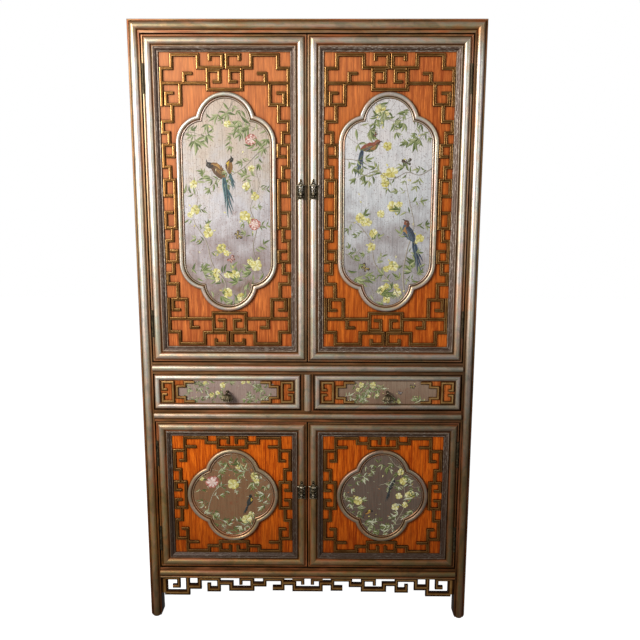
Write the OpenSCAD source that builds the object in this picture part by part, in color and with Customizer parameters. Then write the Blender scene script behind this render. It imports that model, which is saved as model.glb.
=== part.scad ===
// Chinoiserie armoire: two tall doors over two drawers over two short doors,
// framed in half-round mouldings, with raised fretwork and lobed medallions.
// Millimetres, +Z up, front toward -Y, origin under the middle of the footprint.

/* [Case] */
// Width of the case over the two front posts
body_w = 1165; // [1050:5:1300]
// Depth of the case from the moulding crests to the back
body_d = 580; // [480:5:680]
// Height of the case from floor to top edge
body_h = 2100; // [1950:5:2250]
// Height of the underside of the bottom rail above the floor
foot_h = 150; // [130:1:180]
// Height of the opening for the short doors
low_open_h = 560; // [500:5:640]
// Height of the opening for the drawers
drawer_open_h = 131; // [120:1:160]
// Width of each post across the front
post_w = 40; // [36:1:50]
// Depth of each post behind its moulding
post_d = 42; // [38:1:60]
// Height of each front rail below the top one
rail_h = 42; // [36:1:54]
// Height of the top rail
top_rail_h = 43.5; // [40:0.5:56]
// Thickness of the front rails behind their moulding
rail_t = 30; // [24:1:34]
// Width of the upright between the drawers
divider_w = 43; // [36:1:56]
// Thickness of the horizontal case boards
board_t = 18; // [15:1:22]
// Thickness of the side and back panels
thin_t = 8; // [6:1:10]
// Chamfer at the foot of each post
foot_chamfer = 4; // [2:0.5:6]

/* [Mouldings] */
// Width of the half-round on the posts and the top rail
post_round_w = 25; // [20:1:30]
// How far every case half-round stands forward of its fillets
round_rise = 8; // [5:0.5:9]
// Width of the half-round on the lower front rails
rail_round_w = 21; // [16:1:24]
// Width of the thin bead under the bottom rail moulding
bead_w = 8; // [6:0.5:9]

/* [Doors] */
// Clearance around each door and drawer front
gap = 2.5; // [2:0.25:3.5]
// Clearance between two doors where they meet
meet_gap = 3; // [2:0.5:4]
// How far the door faces lie behind the case fillets
door_set = 4; // [3:0.5:6]
// Thickness of the door frames
door_t = 24; // [22:1:28]
// Width of the outer fillet of a door frame
door_fillet = 7.5; // [6:0.5:9]
// Width of the half-round of a door frame
door_round_w = 24; // [20:1:27]
// How far the half-round of a door frame stands forward
door_round_rise = 8; // [6:0.5:9]
// Width of the groove inside the half-round
door_groove = 4; // [3:0.5:6]
// Width of the sloping moulding round each door panel
inner_w = 18; // [14:1:22]
// Depth of the door panel face behind the door face
panel_set = 8; // [6:0.5:10]
// Width of the lip that holds a panel from behind
lip_w = 12; // [8:1:16]

/* [Medallions, on doors of the drawn size] */
// Half the width of the fretwork's field that they are drawn for
drawn_half_w = 213.75; // [200:0.25:230]
// Half the height of that field on a tall door
tall_drawn_half_h = 486.75; // [450:0.25:520]
// Half the height of that field on a short door
short_drawn_half_h = 222; // [200:0.25:240]
// Half the width of the tall medallion
tall_half_w = 167; // [150:1:172]
// Half the height of the tall medallion
tall_half_h = 364.5; // [320:0.5:366]
// Outer radius of the top lobe of the tall medallion
tall_lobe_r = 100; // [90:1:105]
// Outer radius of the shoulder of the tall medallion
tall_shoulder_r = 92; // [85:1:98]
// Distance from the top of the tall medallion down to its shoulder's centre
tall_shoulder_down = 165; // [158:1:172]
// Half the width of the short medallion
short_half_w = 165; // [150:1:167]
// Half the height of the short medallion
short_half_h = 175; // [165:1:176]
// Outer radius of the top lobe of the short medallion
short_lobe_r = 100; // [92:1:106]
// Outer radius of the side lobe of the short medallion
short_side_r = 112; // [106:1:118]
// Width of the half-round ring round each medallion
ring_w = 22; // [18:1:24]
// How far the ring stands forward of the panel
ring_rise = 10; // [8:0.5:11]
// Width of the hairline joint at each of the ring's mitres
ring_joint = 0.1; // [0.05:0.05:0.3]
// Radius of the dowels hidden in the ring's joints
ring_dowel = 3; // [2:0.5:3.5]
// Thickness of the painted board inside the ring
field_t = 2; // [1:0.5:4]

/* [Fretwork] */
// Width of the fret strips on the doors
fret_w = 10.5; // [9:0.25:11]
// How far the fret strips stand forward of their panel
fret_t = 5.5; // [4:0.5:7]
// Margin between the fretwork and the panel moulding
fret_margin = 2; // [1:0.5:4]
// Width of the fret strips on the drawers
drawer_fret_w = 9.5; // [8:0.25:10.5]
// Thickness of the pierced apron
apron_t = 10; // [8:1:14]
// Depth of the apron face behind the case fillets
apron_set = 2; // [1:0.5:6]
// Lowest edge of the apron above the floor
apron_low = 80; // [70:1:96]

/* [Drawers] */
// Thickness of the drawer fronts
front_t = 20; // [18:1:24]
// Width of the half-round border of a drawer front
drawer_round_w = 18; // [15:1:20]
// How far the drawer border stands forward
drawer_round_rise = 7; // [5:0.5:8]
// Width of the flat strip on either side of that border
drawer_fillet = 2; // [1.5:0.5:3]
// Depth of the painted field of a drawer front
drawer_field_set = 2; // [1:0.5:4]
// Travel of the drawers
drawer_travel = 380; // [300:5:385]
// Length of the drawer boxes that stays in the case when they are drawn out
box_keep = 75; // [60:5:80]
// Height of the drawer sides
box_h = 100; // [80:1:108]
// Thickness of the drawer sides and back
box_t = 12; // [10:1:14]
// Thickness of the drawer bottom
box_bottom_t = 6; // [5:1:8]
// Height of the strips that the drawers run on
runner_h = 6; // [5:1:9]
// Width of the strips that the drawers run on
runner_w = 16; // [12:1:20]

/* [Shelves] */
// Number of shelves behind the tall doors
shelf_count = 2; // [1:1:3]
// Thickness of the shelves
shelf_t = 18; // [15:1:22]
// Height of the strips under the shelf ends
cleat_h = 20; // [16:1:28]
// Height of the strips that the doors close against
stop_h = 14; // [10:1:14]

/* [Hardware] */
// Length of a hinge knuckle
hinge_l = 94; // [80:1:102]
// Distance from the foot of a tall door to its lower hinge
tall_hinge_low = 87; // [70:1:120]
// Distance from the top of a tall door to its upper hinge
tall_hinge_high = 91; // [70:1:120]
// Distance from the foot of a short door to its lower hinge
short_hinge_low = 66; // [50:1:90]
// Distance from the top of a short door to its upper hinge
short_hinge_high = 70; // [50:1:90]
// Radius of a hinge knuckle
knuckle_r = 3.7; // [3.2:0.1:3.7]
// Radius of a hinge pin
pin_r = 1.8; // [1.5:0.1:2]
// Distance of the hinge axis from the door's outer edge
hinge_in = 4.5; // [4:0.25:5]
// Thickness of the hinge leaves
leaf_t = 1; // [0.8:0.1:1.2]
// Height of the centre of the tall doors' pull plates
tall_pull_z = 1553; // [1450:1:1620]
// Height of the centre of the short doors' pull plates
short_pull_z = 490; // [440:1:520]
// Width of a door pull plate
plate_w = 28; // [22:1:29]
// Height of a door pull plate without its finial
plate_h = 49; // [44:1:56]
// Thickness of a pull plate in front of the moulding crest
plate_t = 2.5; // [2:0.5:3]
// Length of the drop on a door plate, from its pin
drop_l = 38; // [32:1:42]
// Radius of the pins that the pull drops hang on
drop_pin_r = 1.5; // [1.2:0.1:1.8]
// Running clearance of every eye and knuckle around its pin
pin_clear = 0.06; // [0.04:0.01:0.08]
// Radius of the mouth of a drawer bell drop
bell_r = 22; // [18:0.5:24]
// Half of the thickness of a drawer bell drop, front to back
bell_half = 16.5; // [14:0.5:18]
// Length of a drawer bell drop, from its pin
bell_l = 28.5; // [26:0.5:32]
// Radius of the round boss behind a drawer drop
rosette_r = 5.5; // [5:0.5:8]

/* [Hidden] */
$fn = 48;

// Depths behind the crests of the case mouldings
fil_d = round_rise;
face_d = fil_d + door_set;
door_back_d = face_d + door_t;
panel_d = face_d + panel_set;
rail_back_d = fil_d + rail_t;
post_back_d = fil_d + post_d;
rear_post_d = body_d - post_d;
rear_rail_t = 22;
rear_rail_d = body_d - 4 - rear_rail_t;
field_d = face_d + drawer_field_set;
apron_d = fil_d + apron_set;

// The sides lie in from the posts' outer faces, and shelves clear their panels
side_face = 6;
side_panel_x = side_face + 8;
shelf_x = side_panel_x + thin_t + 2;

// The drawer drops reach farthest forward and set the front of the footprint
rosette_t = 3;
bell_d = field_d - 1.5 - bell_half;
pull_out = bell_half - bell_d;

// Heights of the openings
low_z = foot_h + rail_h;
mid_rail_z = low_z + low_open_h;
drawer_z = mid_rail_z + rail_h;
waist_rail_z = drawer_z + drawer_open_h;
up_z = waist_rail_z + rail_h;
top_rail_z = body_h - top_rail_h;
up_open_h = top_rail_z - up_z;
low_shelf_z = low_z + low_open_h / 2;

// Doors
door_x = post_w + gap;
door_w = body_w / 2 - meet_gap / 2 - door_x;
up_door_h = up_open_h - 2 * gap;
low_door_h = low_open_h - 2 * gap;
rim_w = door_fillet + door_round_w + door_groove;
margin = rim_w + inner_w;
round_in = door_fillet + door_round_w / 2;
open_w = door_w - 2 * margin;
up_door_z = up_z + gap;
low_door_z = low_z + gap;

// Half sizes of the fields that the fretwork fills, here and as drawn
tall_field = [open_w / 2 - fret_margin, up_door_h / 2 - margin - fret_margin];
short_field = [open_w / 2 - fret_margin, low_door_h / 2 - margin - fret_margin];
TALL_DRAWN = [210, 489];
SHORT_DRAWN = [210, 221.5];

// Medallions follow the fields: [top lobe centre height, its radius, side lobe
// centre across, its height, its radius]
tall_k = [tall_field[0] / drawn_half_w, tall_field[1] / tall_drawn_half_h];
short_k = [short_field[0] / drawn_half_w, short_field[1] / short_drawn_half_h];
tall_p = [
  tall_half_h * tall_k[1] - tall_lobe_r * min(tall_k),
  tall_lobe_r * min(tall_k),
  tall_half_w * tall_k[0] - tall_shoulder_r * min(tall_k),
  tall_half_h * tall_k[1] - tall_shoulder_down * min(tall_k),
  tall_shoulder_r * min(tall_k)
];
short_p = [
  short_half_h * short_k[1] - short_lobe_r * min(short_k),
  short_lobe_r * min(short_k),
  short_half_w * short_k[0] - short_side_r * min(short_k),
  0,
  short_side_r * min(short_k)
];

// Radius of the circle whose segment is w wide and rise high
function seg_r(w, rise) = (w * w / 4 + rise * rise) / (2 * rise);
post_r = seg_r(post_round_w, round_rise);
rail_r = seg_r(rail_round_w, round_rise - 1);
door_r = seg_r(door_round_w, door_round_rise);
drawer_r = seg_r(drawer_round_w, drawer_round_rise);
ring_r = seg_r(ring_w, ring_rise);

// Drawers
half_x = (body_w - divider_w) / 2;
front_w = half_x - post_w - 2 * gap;
front_h = drawer_open_h - 2 * gap;
drawer_margin = 2 * drawer_fillet + drawer_round_w;
field_w = front_w - 2 * drawer_margin;
field_h = front_h - 2 * drawer_margin;
box_w = front_w - 6;
box_x = post_w + gap + 3;
box_z = drawer_z + runner_h;
box_l = drawer_travel + box_keep;

// Hinges
hinge_x = door_x + hinge_in;
hinge_d = face_d - 4;
knuckle_n = 5;
knuckle_gap = 0.4;
knuckle_l = (hinge_l + knuckle_gap) / knuckle_n;
up_hinges = [
  up_door_z + tall_hinge_low,
  up_door_z + up_door_h - tall_hinge_high - hinge_l
];
low_hinges = [
  low_door_z + short_hinge_low,
  low_door_z + low_door_h - short_hinge_high - hinge_l
];

// Pulls
crest_d = face_d - door_round_rise;
plate_d = crest_d - plate_t;
pull_x = door_x + door_w - round_in;
drop_up = 20;
eye_r = 3.6;
drop_d = plate_d - 4.6;
bell_z = drawer_z + drawer_open_h / 2 + 1;
bell_eye = 4;
fork_t = 1.8;
fork_h = 4.8;
fork_x = bell_eye / 2 + 0.4 + fork_t / 2;
pin_half = fork_x + fork_t / 2;
drawer_mid_x = post_w + gap + front_w / 2;

// Fret lines of one quarter of a tall door panel, as centre lines
// [across, down, across, down] from the corner on a 210 by 489 field
TALL = [
  [5, 49, 5, 164], [5, 49, 39, 49], [39, 7, 39, 49], [39, 7, 124, 7],
  [124, 7, 124, 47], [124, 47, 203, 47], [203, 7, 203, 47],
  [161, 7, 203, 7], [162, 7, 162, 20], [5, 96, 155, 96],
  [155, 47, 155, 116], [155, 57, 193, 57], [193, 57, 193, 91],
  [176, 91, 193, 91], [155, 116, 210, 116], [79, 65, 79, 96],
  [79, 65, 100, 65], [65, 96, 65, 164], [18, 164, 65, 164],
  [19, 127, 19, 164], [19, 127, 38, 127], [37, 164, 37, 218],
  [5, 218, 37, 218], [5, 218, 5, 254], [5, 254, 25, 254],
  [25, 254, 25, 294], [5, 294, 39, 294], [5, 294, 5, 366],
  [39, 294, 39, 331], [20, 331, 39, 331], [5, 366, 25, 366],
  [25, 366, 25, 409], [5, 409, 38, 409], [5, 409, 5, 461],
  [5, 461, 25, 461], [38, 409, 38, 489]
];
// The same for a short door panel, on a 210 by 221.5 field
SHORT = [
  [38, 5, 119, 5], [43, 5, 43, 92], [28, 91, 43, 91], [43, 39, 78, 39],
  [6, 53, 43, 53], [6, 53, 6, 125], [6, 125, 25, 125],
  [25, 125, 25, 172], [6, 172, 42, 172], [6, 172, 6, 203],
  [6, 203, 22, 203], [42, 172, 42, 221.5], [119, 5, 119, 24],
  [119, 24, 158, 24], [160, 5, 160, 41], [160, 5, 196, 5],
  [196, 5, 196, 22], [160, 41, 210, 41]
];
// The upper half of one end of a drawer, [in, up, in, up] from the end's middle
ENDS = [
  [7, 35, 44, 35], [7, 9, 7, 35], [7, 9, 17, 9], [44, 0, 44, 35],
  [58, 0, 58, 20], [58, 20, 86, 20], [86, 20, 86, 35], [86, 35, 115, 35]
];
// Width and height of the whole drawer field that ENDS is drawn on
ENDS_DRAWN = [472, 82];
// One half of the apron, [x, z, x, z] rectangles on a 582.5 by 150 field
APRON = [
  [40, 80, 64, 150], [40, 80, 146, 98], [131, 80, 146, 150],
  [40, 141, 111, 150], [98, 108, 111, 150], [82, 108, 111, 122],
  [131, 104, 189, 124], [174, 104, 189, 150], [174, 137, 260, 150],
  [247, 94, 260, 150], [210, 94, 260, 112], [210, 94, 224, 126],
  [247, 120, 308, 136], [291, 97, 308, 136], [291, 97, 385, 114],
  [370, 97, 385, 150], [329, 137, 385, 150], [329, 122, 341, 150],
  [370, 115, 430, 132], [417, 115, 430, 150], [417, 137, 497, 150],
  [483, 100, 497, 150], [453, 100, 497, 119], [483, 121, 541, 139],
  [526, 97, 541, 139], [526, 137, 571, 150], [558, 124, 571, 150],
  [526, 97, 582.5, 114]
];

// Case coordinates: x from the left edge, y as depth behind the crests
module case_frame() {
  translate([-body_w / 2, pull_out / 2 - body_d / 2, 0]) children();
}

module other_side() {
  translate([body_w, 0, 0]) mirror([1, 0, 0]) children();
}

module both_sides() {
  children();
  other_side() children();
}

module box(x0, x1, y0, y1, z0, z1) {
  translate([x0, y0, z0]) cube([x1 - x0, y1 - y0, z1 - z0]);
}

// Extrudes a front-view outline (x, z) from depth y0 to depth y1
module front_slab(y0, y1) {
  translate([0, y1, 0]) rotate([90, 0, 0]) linear_extrude(y1 - y0) children();
}

// Runs a profile (across, depth) round a w by h frame with mitred corners
module mitred(w, h, y0, y1) {
  mitred_upright(w, h, y0, y1) children();
  translate([w, 0, 0]) mirror([1, 0, 0]) mitred_upright(w, h, y0, y1) children();
  mitred_level(w, h, y0, y1) children();
  translate([0, 0, h]) mirror([0, 0, 1]) mitred_level(w, h, y0, y1) children();
}

module mitred_upright(w, h, y0, y1) {
  c = min(w, h) / 2;
  intersection() {
    linear_extrude(h) children();
    front_slab(y0, y1) polygon([[0, 0], [c, c], [c, h - c], [0, h]]);
  }
}

module mitred_level(w, h, y0, y1) {
  c = min(w, h) / 2;
  intersection() {
    mirror([0, 0, 1]) rotate([0, 90, 0]) linear_extrude(w) children();
    front_slab(y0, y1) polygon([[0, 0], [c, c], [w - c, c], [w, 0]]);
  }
}

// Upright and level half-round strips, flat side at depth y1
module round_upright(x, r, y0, y1, z0, z1) {
  intersection() {
    translate([x, y0 + r, z0]) cylinder(r = r, h = z1 - z0);
    box(x - r, x + r, y0, y1, z0, z1);
  }
}

module round_level(z, r, y0, y1, x0, x1) {
  intersection() {
    translate([x0, y0 + r, z]) rotate([0, 90, 0]) cylinder(r = r, h = x1 - x0);
    box(x0, x1, y0, y1, z - r, z + r);
  }
}

// Posts, front pair with a half-round that mitres into the top rail
module posts() color("burlywood") case_frame() {
  both_sides() {
    intersection() {
      union() {
        box(0, post_w, fil_d, post_back_d, 0, body_h);
        intersection() {
          round_upright(post_w / 2, post_r, 0, fil_d, 0, body_h);
          front_slab(0, fil_d) polygon([
            [0, 0], [post_w, 0], [post_w, body_h - post_w], [0, body_h]
          ]);
        }
      }
      chamfered_leg(0, post_back_d);
    }
    intersection() {
      box(0, post_w, rear_post_d, body_d, 0, body_h);
      chamfered_leg(rear_post_d, body_d);
    }
  }
}

module chamfered_leg(y0, y1) {
  c = foot_chamfer;
  front_slab(y0, y1) polygon([
    [c, 0], [post_w - c, 0], [post_w, c * 2], [post_w, body_h],
    [0, body_h], [0, c * 2]
  ]);
}

// Top, waist, middle and bottom rails across the front
module front_rails() color("burlywood") case_frame() {
  box(post_w, body_w - post_w, fil_d, rail_back_d, top_rail_z, body_h);
  intersection() {
    round_level(body_h - post_w / 2, post_r, 0, fil_d, 0, body_w);
    front_slab(0, fil_d) polygon([
      [0, body_h], [post_w, body_h - post_w],
      [body_w - post_w, body_h - post_w], [body_w, body_h]
    ]);
  }
  rail(waist_rail_z);
  rail(mid_rail_z);
  rail(foot_h);
  round_level(foot_h + bead_w / 2, bead_w / 2, fil_d - bead_w / 2, fil_d,
    post_w, body_w - post_w);
}

module rail(z) {
  box(post_w, body_w - post_w, fil_d, rail_back_d, z, z + rail_h);
  round_level(z + rail_h / 2, rail_r, 1, fil_d, post_w, body_w - post_w);
}

module drawer_divider() color("burlywood") case_frame() {
  box(half_x, half_x + divider_w, fil_d, rail_back_d, drawer_z, waist_rail_z);
  round_upright(body_w / 2, post_r, 0, fil_d, drawer_z, waist_rail_z);
}

// Side rails at the heights of the front rails, each with a half-round
module side_rails() color("burlywood") case_frame() both_sides() {
  side_rail(top_rail_z, body_h, side_face);
  side_rail(waist_rail_z, up_z, side_face);
  side_rail(mid_rail_z, drawer_z, side_face);
  side_rail(foot_h, low_z, side_face);
}

module side_rail(z0, z1, x0) {
  r = seg_r(rail_round_w, side_face - 1);
  box(x0, post_w, post_back_d, rear_post_d, z0, z1);
  intersection() {
    translate([1 + r, post_back_d, (z0 + z1) / 2]) rotate([-90, 0, 0])
      cylinder(r = r, h = rear_post_d - post_back_d);
    box(1, x0, post_back_d, rear_post_d, z0, z1);
  }
}

// Side panels between the rails, each with a planted bead frame
module side_panels() color("peru") case_frame() both_sides() {
  side_panel(up_z, top_rail_z);
  side_panel(drawer_z, waist_rail_z);
  side_panel(low_z, mid_rail_z);
}

module side_panel(z0, z1) {
  m = 12;
  box(side_panel_x, side_panel_x + thin_t, post_back_d, rear_post_d, z0, z1);
  difference() {
    box(side_face + 2, side_panel_x, post_back_d, rear_post_d, z0, z1);
    box(0, side_panel_x, post_back_d + m, rear_post_d - m, z0 + m, z1 - m);
  }
}

module rear_rails() color("saddlebrown") case_frame() {
  rear_rail(top_rail_z, body_h);
  rear_rail(waist_rail_z, up_z);
  rear_rail(mid_rail_z, drawer_z);
  rear_rail(foot_h, low_z);
}

module rear_rail(z0, z1) {
  box(post_w, body_w - post_w, rear_rail_d, rear_rail_d + rear_rail_t, z0, z1);
}

module back_panels() color("saddlebrown") case_frame() {
  back_panel(up_z, top_rail_z);
  back_panel(drawer_z, waist_rail_z);
  back_panel(low_z, mid_rail_z);
}

module back_panel(z0, z1) {
  d = rear_rail_d + (rear_rail_t - thin_t) / 2;
  box(post_w, body_w - post_w, d, d + thin_t, z0, z1);
}

module top_board() color("saddlebrown") case_frame() {
  box(post_w, body_w - post_w, rail_back_d, rear_rail_d,
    body_h - board_t - 2, body_h - 2);
}

// Floor of the tall compartment, floor of the drawer space and bottom board
module case_boards() color("sienna") case_frame() {
  case_board(up_z);
  case_board(drawer_z);
  case_board(low_z);
}

module case_board(z) {
  box(post_w, body_w - post_w, rail_back_d, rear_rail_d, z - board_t, z);
}

module drawer_partition() color("sienna") case_frame() {
  box(body_w / 2 - board_t / 2, body_w / 2 + board_t / 2, rail_back_d,
    rear_rail_d, drawer_z, up_z - board_t);
}

// Shelves lie between the front and rear posts on strips at their ends
module shelves() color("sienna") case_frame() {
  for (i = [1 : shelf_count]) shelf(shelf_z(i));
  shelf(low_shelf_z);
}

function shelf_z(i) = up_z + i * (top_rail_z - up_z) / (shelf_count + 1);

module shelf(z) {
  box(shelf_x, body_w - shelf_x, post_back_d + 4, rear_post_d - 4, z,
    z + shelf_t);
}

// Strips under shelf ends, drawer runners and guides, and door stops
module inner_strips() color("sienna") case_frame() {
  both_sides() {
    for (i = [1 : shelf_count]) cleat(shelf_z(i));
    cleat(low_shelf_z);
    runner(box_x);
    runner(box_x + box_w - runner_w);
    box(shelf_x, post_w + 4, post_back_d, rear_post_d,
      drawer_z + 0.5, drawer_z + 30);
  }
  stop(up_z);
  stop(top_rail_z - stop_h);
  stop(low_z);
  stop(mid_rail_z - stop_h);
}

module cleat(z) {
  box(side_panel_x + thin_t, post_w, post_back_d, rear_post_d,
    z - cleat_h, z);
}

module runner(x) {
  box(x, x + runner_w, post_back_d + 2, rear_rail_d - 20, drawer_z,
    drawer_z + runner_h);
}

module stop(z) {
  d = door_back_d + 0.6;
  box(post_w, body_w - post_w, d, post_back_d, z, z + stop_h);
}

// Pierced apron, hung under the bottom rail
module apron_fret() color("goldenrod") case_frame() {
  front_slab(apron_d, apron_d + apron_t) {
    for (b = APRON) apron_bar(b);
    for (b = APRON) translate([body_w, 0]) mirror([1, 0]) apron_bar(b);
  }
}

module apron_bar(b) {
  x0 = apron_x(b[0]);
  z0 = apron_z(b[1]);
  translate([x0, z0]) square([apron_x(b[2]) - x0, apron_z(b[3]) - z0]);
}

function apron_x(x) = post_w + (x - 40) * (body_w / 2 - post_w) / 542.5;
function apron_z(z) = apron_low + (z - 80) * (foot_h - apron_low) / 70;

// Case side of the door hinges: knuckles, pins and leaves wrapped into the gap
module case_hinges() color("dimgray") case_frame() both_sides() {
  for (z = concat(up_hinges, low_hinges)) case_hinge(z);
}

module case_hinge(z) {
  for (i = [0 : 2 : knuckle_n - 1]) {
    h = knuckle_l - knuckle_gap;
    translate([hinge_x, hinge_d, z + i * knuckle_l]) cylinder(r = knuckle_r, h = h);
    box(post_w, hinge_x, hinge_d + knuckle_r - leaf_t, hinge_d + knuckle_r,
      z + i * knuckle_l, z + i * knuckle_l + h);
  }
  translate([hinge_x, hinge_d, z]) cylinder(r = pin_r, h = hinge_l);
  box(post_w, post_w + leaf_t, hinge_d + knuckle_r - leaf_t,
    door_back_d - 4, z, z + hinge_l);
}

// Door side of a hinge: knuckles drilled for the pin, each on a small foot
module door_hinge(z) {
  for (i = [1 : 2 : knuckle_n - 2]) {
    h = knuckle_l - knuckle_gap;
    translate([0, 0, z + i * knuckle_l]) difference() {
      union() {
        translate([hinge_x, hinge_d, 0]) cylinder(r = knuckle_r, h = h);
        box(hinge_x, door_x + door_fillet, hinge_d, face_d, 0, h);
      }
      translate([hinge_x, hinge_d, -1]) cylinder(r = pin_r + pin_clear, h = h + 2);
    }
  }
}

// A door stands at x = door_x in case coordinates, its foot at height z
module door_frame(z, h) {
  translate([door_x, 0, z]) {
    difference() {
      box(0, door_w, face_d, door_back_d, 0, h);
      box(rim_w, door_w - rim_w, face_d - 1, panel_d + thin_t, rim_w, h - rim_w);
      box(rim_w + lip_w, door_w - rim_w - lip_w, face_d - 1, door_back_d + 1,
        rim_w + lip_w, h - rim_w - lip_w);
    }
    mitred(door_w, h, crest_d, face_d)
      translate([round_in, crest_d + door_r]) circle(r = door_r);
  }
}

module door_moulding(z, h) {
  translate([door_x + rim_w, 0, z + rim_w])
    mitred(door_w - 2 * rim_w, h - 2 * rim_w, face_d - 4, panel_d) polygon([
      [0, panel_d], [0, face_d - 2], [3, face_d - 3.5], [5, face_d - 1.5],
      [inner_w - 4, panel_d - 3.5], [inner_w, panel_d - 3], [inner_w, panel_d]
    ]);
}

// Thin panel with the painted board planted inside the medallion ring
module door_panel(z, h, p) {
  translate([door_x, 0, z]) {
    box(rim_w, door_w - rim_w, panel_d, panel_d + thin_t, rim_w, h - rim_w);
    translate([door_w / 2, 0, h / 2])
      front_slab(panel_d - field_t, panel_d) lobes(p, ring_w + 0.4);
  }
}

// Solid lobed outline, drawn in by the given amount
module lobes(p, inset) {
  for (s = [-1, 1]) {
    translate([0, s * p[0]]) circle(r = p[1] - inset, $fn = 96);
    for (t = [-1, 1]) translate([s * p[2], t * p[3]])
      circle(r = p[4] - inset, $fn = 96);
  }
  a = p[2] + p[4] - inset;
  if (p[3] > 0) translate([-a, -p[3]]) square([2 * a, 2 * p[3]]);
}

// Where the top lobe meets the side lobe, with both radii drawn in by inset
function cusp(p, inset) =
  let (
    r1 = p[1] - inset,
    r2 = p[4] - inset,
    dx = p[2],
    dz = p[3] - p[0],
    d = sqrt(dx * dx + dz * dz),
    a = (r1 * r1 - r2 * r2 + d * d) / (2 * d),
    h = sqrt(r1 * r1 - a * a)
  )
  [(a * dx - h * dz) / d, p[0] + (a * dz + h * dx) / d];

// Half-round ring: a torus segment for each lobe, mitred on the cusp lines
// with a hairline joint, and dowelled across each mitre and up each side
module medallion_ring(z, h, p) {
  o = cusp(p, 0);
  i = cusp(p, ring_w);
  out = (o - i) / norm(o - i);
  gap = ring_joint * [out[1], -out[0]];
  near = i - out * ring_w / 2;
  far = o + out * p[1];
  mid = (i + o) / 2;
  y0 = panel_d - ring_rise;
  translate([door_x + door_w / 2, 0, z + h / 2])
    for (m = [0, 1]) mirror([0, 0, m]) {
      intersection() {
        hoop(0, p[0], p[1]);
        front_slab(y0, panel_d) top_wedge(p, near - gap, far - gap);
      }
      for (n = [0, 1]) mirror([n, 0, 0]) {
        intersection() {
          hoop(p[2], p[3], p[4]);
          front_slab(y0, panel_d) side_wedge(p, near, far);
        }
        if (p[3] > 0) round_upright(p[2] + p[4] - ring_w / 2, ring_r,
          y0, panel_d, 0, p[3]);
        translate([p[2] + p[4] - ring_w / 2, panel_d - ring_rise / 2, -ring_dowel])
          cylinder(r = ring_dowel, h = p[3] + 2 * ring_dowel);
        translate([mid[0], panel_d - ring_rise / 2, mid[1]])
          rotate([0, atan2(out[1], -out[0]), 0])
            cylinder(r = ring_dowel, h = 3 * ring_dowel, center = true);
      }
    }
}

module top_wedge(p, near, far) {
  polygon([
    [0, p[0]], near, far, [0, far[1] + 2 * p[1]], [-far[0], far[1]],
    [-near[0], near[1]]
  ]);
}

module side_wedge(p, near, far) {
  polygon([
    [p[2], p[3]], near, far, [far[0] + p[4], far[1]],
    [far[0] + p[4], p[3]]
  ]);
}

module hoop(x, z, r) {
  translate([x, panel_d - ring_rise + ring_r, z]) rotate([90, 0, 0])
    rotate_extrude($fn = 128) translate([r - ring_w / 2, 0])
      circle(r = ring_r, $fn = 48);
}

// Door fretwork: the quarter pattern scaled to the panel and mirrored
module door_fret(z, h, lines, drawn, field) {
  translate([door_x + door_w / 2, 0, z + h / 2])
    front_slab(panel_d - fret_t, panel_d) fret_outline(lines, drawn, field);
}

module fret_outline(lines, drawn, field) {
  e = fret_w / 2;
  kx = field[0] / drawn[0];
  kz = field[1] / drawn[1];
  for (m = [0, 1], n = [0, 1]) mirror([m, 0]) mirror([0, n]) for (b = lines) {
    x1 = (drawn[0] - b[0]) * kx + e;
    x0 = (drawn[0] - b[2]) * kx - (b[2] < drawn[0] ? e : 0);
    z1 = (drawn[1] - b[1]) * kz + e;
    z0 = (drawn[1] - b[3]) * kz - (b[3] < drawn[1] ? e : 0);
    translate([x0, z0]) square([x1 - x0, z1 - z0]);
  }
}

// Saddle plate over the half-round, with a finial and two lugs for the pin
module door_plate(z) {
  difference() {
    union() {
      plate_slab(z);
      for (s = [-1, 1]) plate_disc(pull_x + s * (plate_w / 2 - 2.5), z - plate_h / 2, 2.5);
      for (s = [-1, 1]) plate_disc(pull_x + s * plate_w / 2, z + plate_h / 2 - 4, 2.5);
      plate_disc(pull_x, z + plate_h / 2 + 4, 6);
      plate_disc(pull_x, z + plate_h / 2 + 13, 5);
    }
    translate([pull_x, crest_d + door_r, z - 1.5 * plate_h])
      cylinder(r = door_r + 0.1, h = 3 * plate_h);
  }
  for (s = [-1, 1]) box(pull_x + s * 7 - 1.5, pull_x + s * 7 + 1.5,
    drop_d - 2.4, plate_d, z + drop_up - 2.4, z + drop_up + 2.4);
  translate([pull_x - 8.5, drop_d, z + drop_up]) rotate([0, 90, 0])
    cylinder(r = drop_pin_r, h = 17);
}

module plate_slab(z) {
  box(pull_x - plate_w / 2, pull_x + plate_w / 2, plate_d, crest_d + 3,
    z - plate_h / 2, z + plate_h / 2);
}

module plate_disc(x, z, r) {
  translate([x, crest_d + 3, z]) rotate([90, 0, 0])
    cylinder(r = r, h = crest_d + 3 - plate_d);
}

// Baluster drop that hangs from the plate's pin
module door_drop(z) {
  zp = z + drop_up;
  difference() {
    union() {
      translate([pull_x - 4, drop_d, zp]) rotate([0, 90, 0])
        cylinder(r = eye_r, h = 8);
      translate([pull_x, drop_d, zp - drop_l]) rotate_extrude() polygon([
        [0, 0], [2, 0.8], [2.8, 2.6], [1.8, 4.6], [3.6, 7], [4.1, 10],
        [3.8, 13], [2.6, 19], [1.9, 24], [2.8, 26], [2.8, 28], [1.9, 30],
        [1.9, drop_l - 1.8], [0, drop_l - 1.8]
      ]);
    }
    translate([pull_x - 5, drop_d, zp]) rotate([0, 90, 0])
      cylinder(r = drop_pin_r + pin_clear, h = 10);
  }
}

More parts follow.
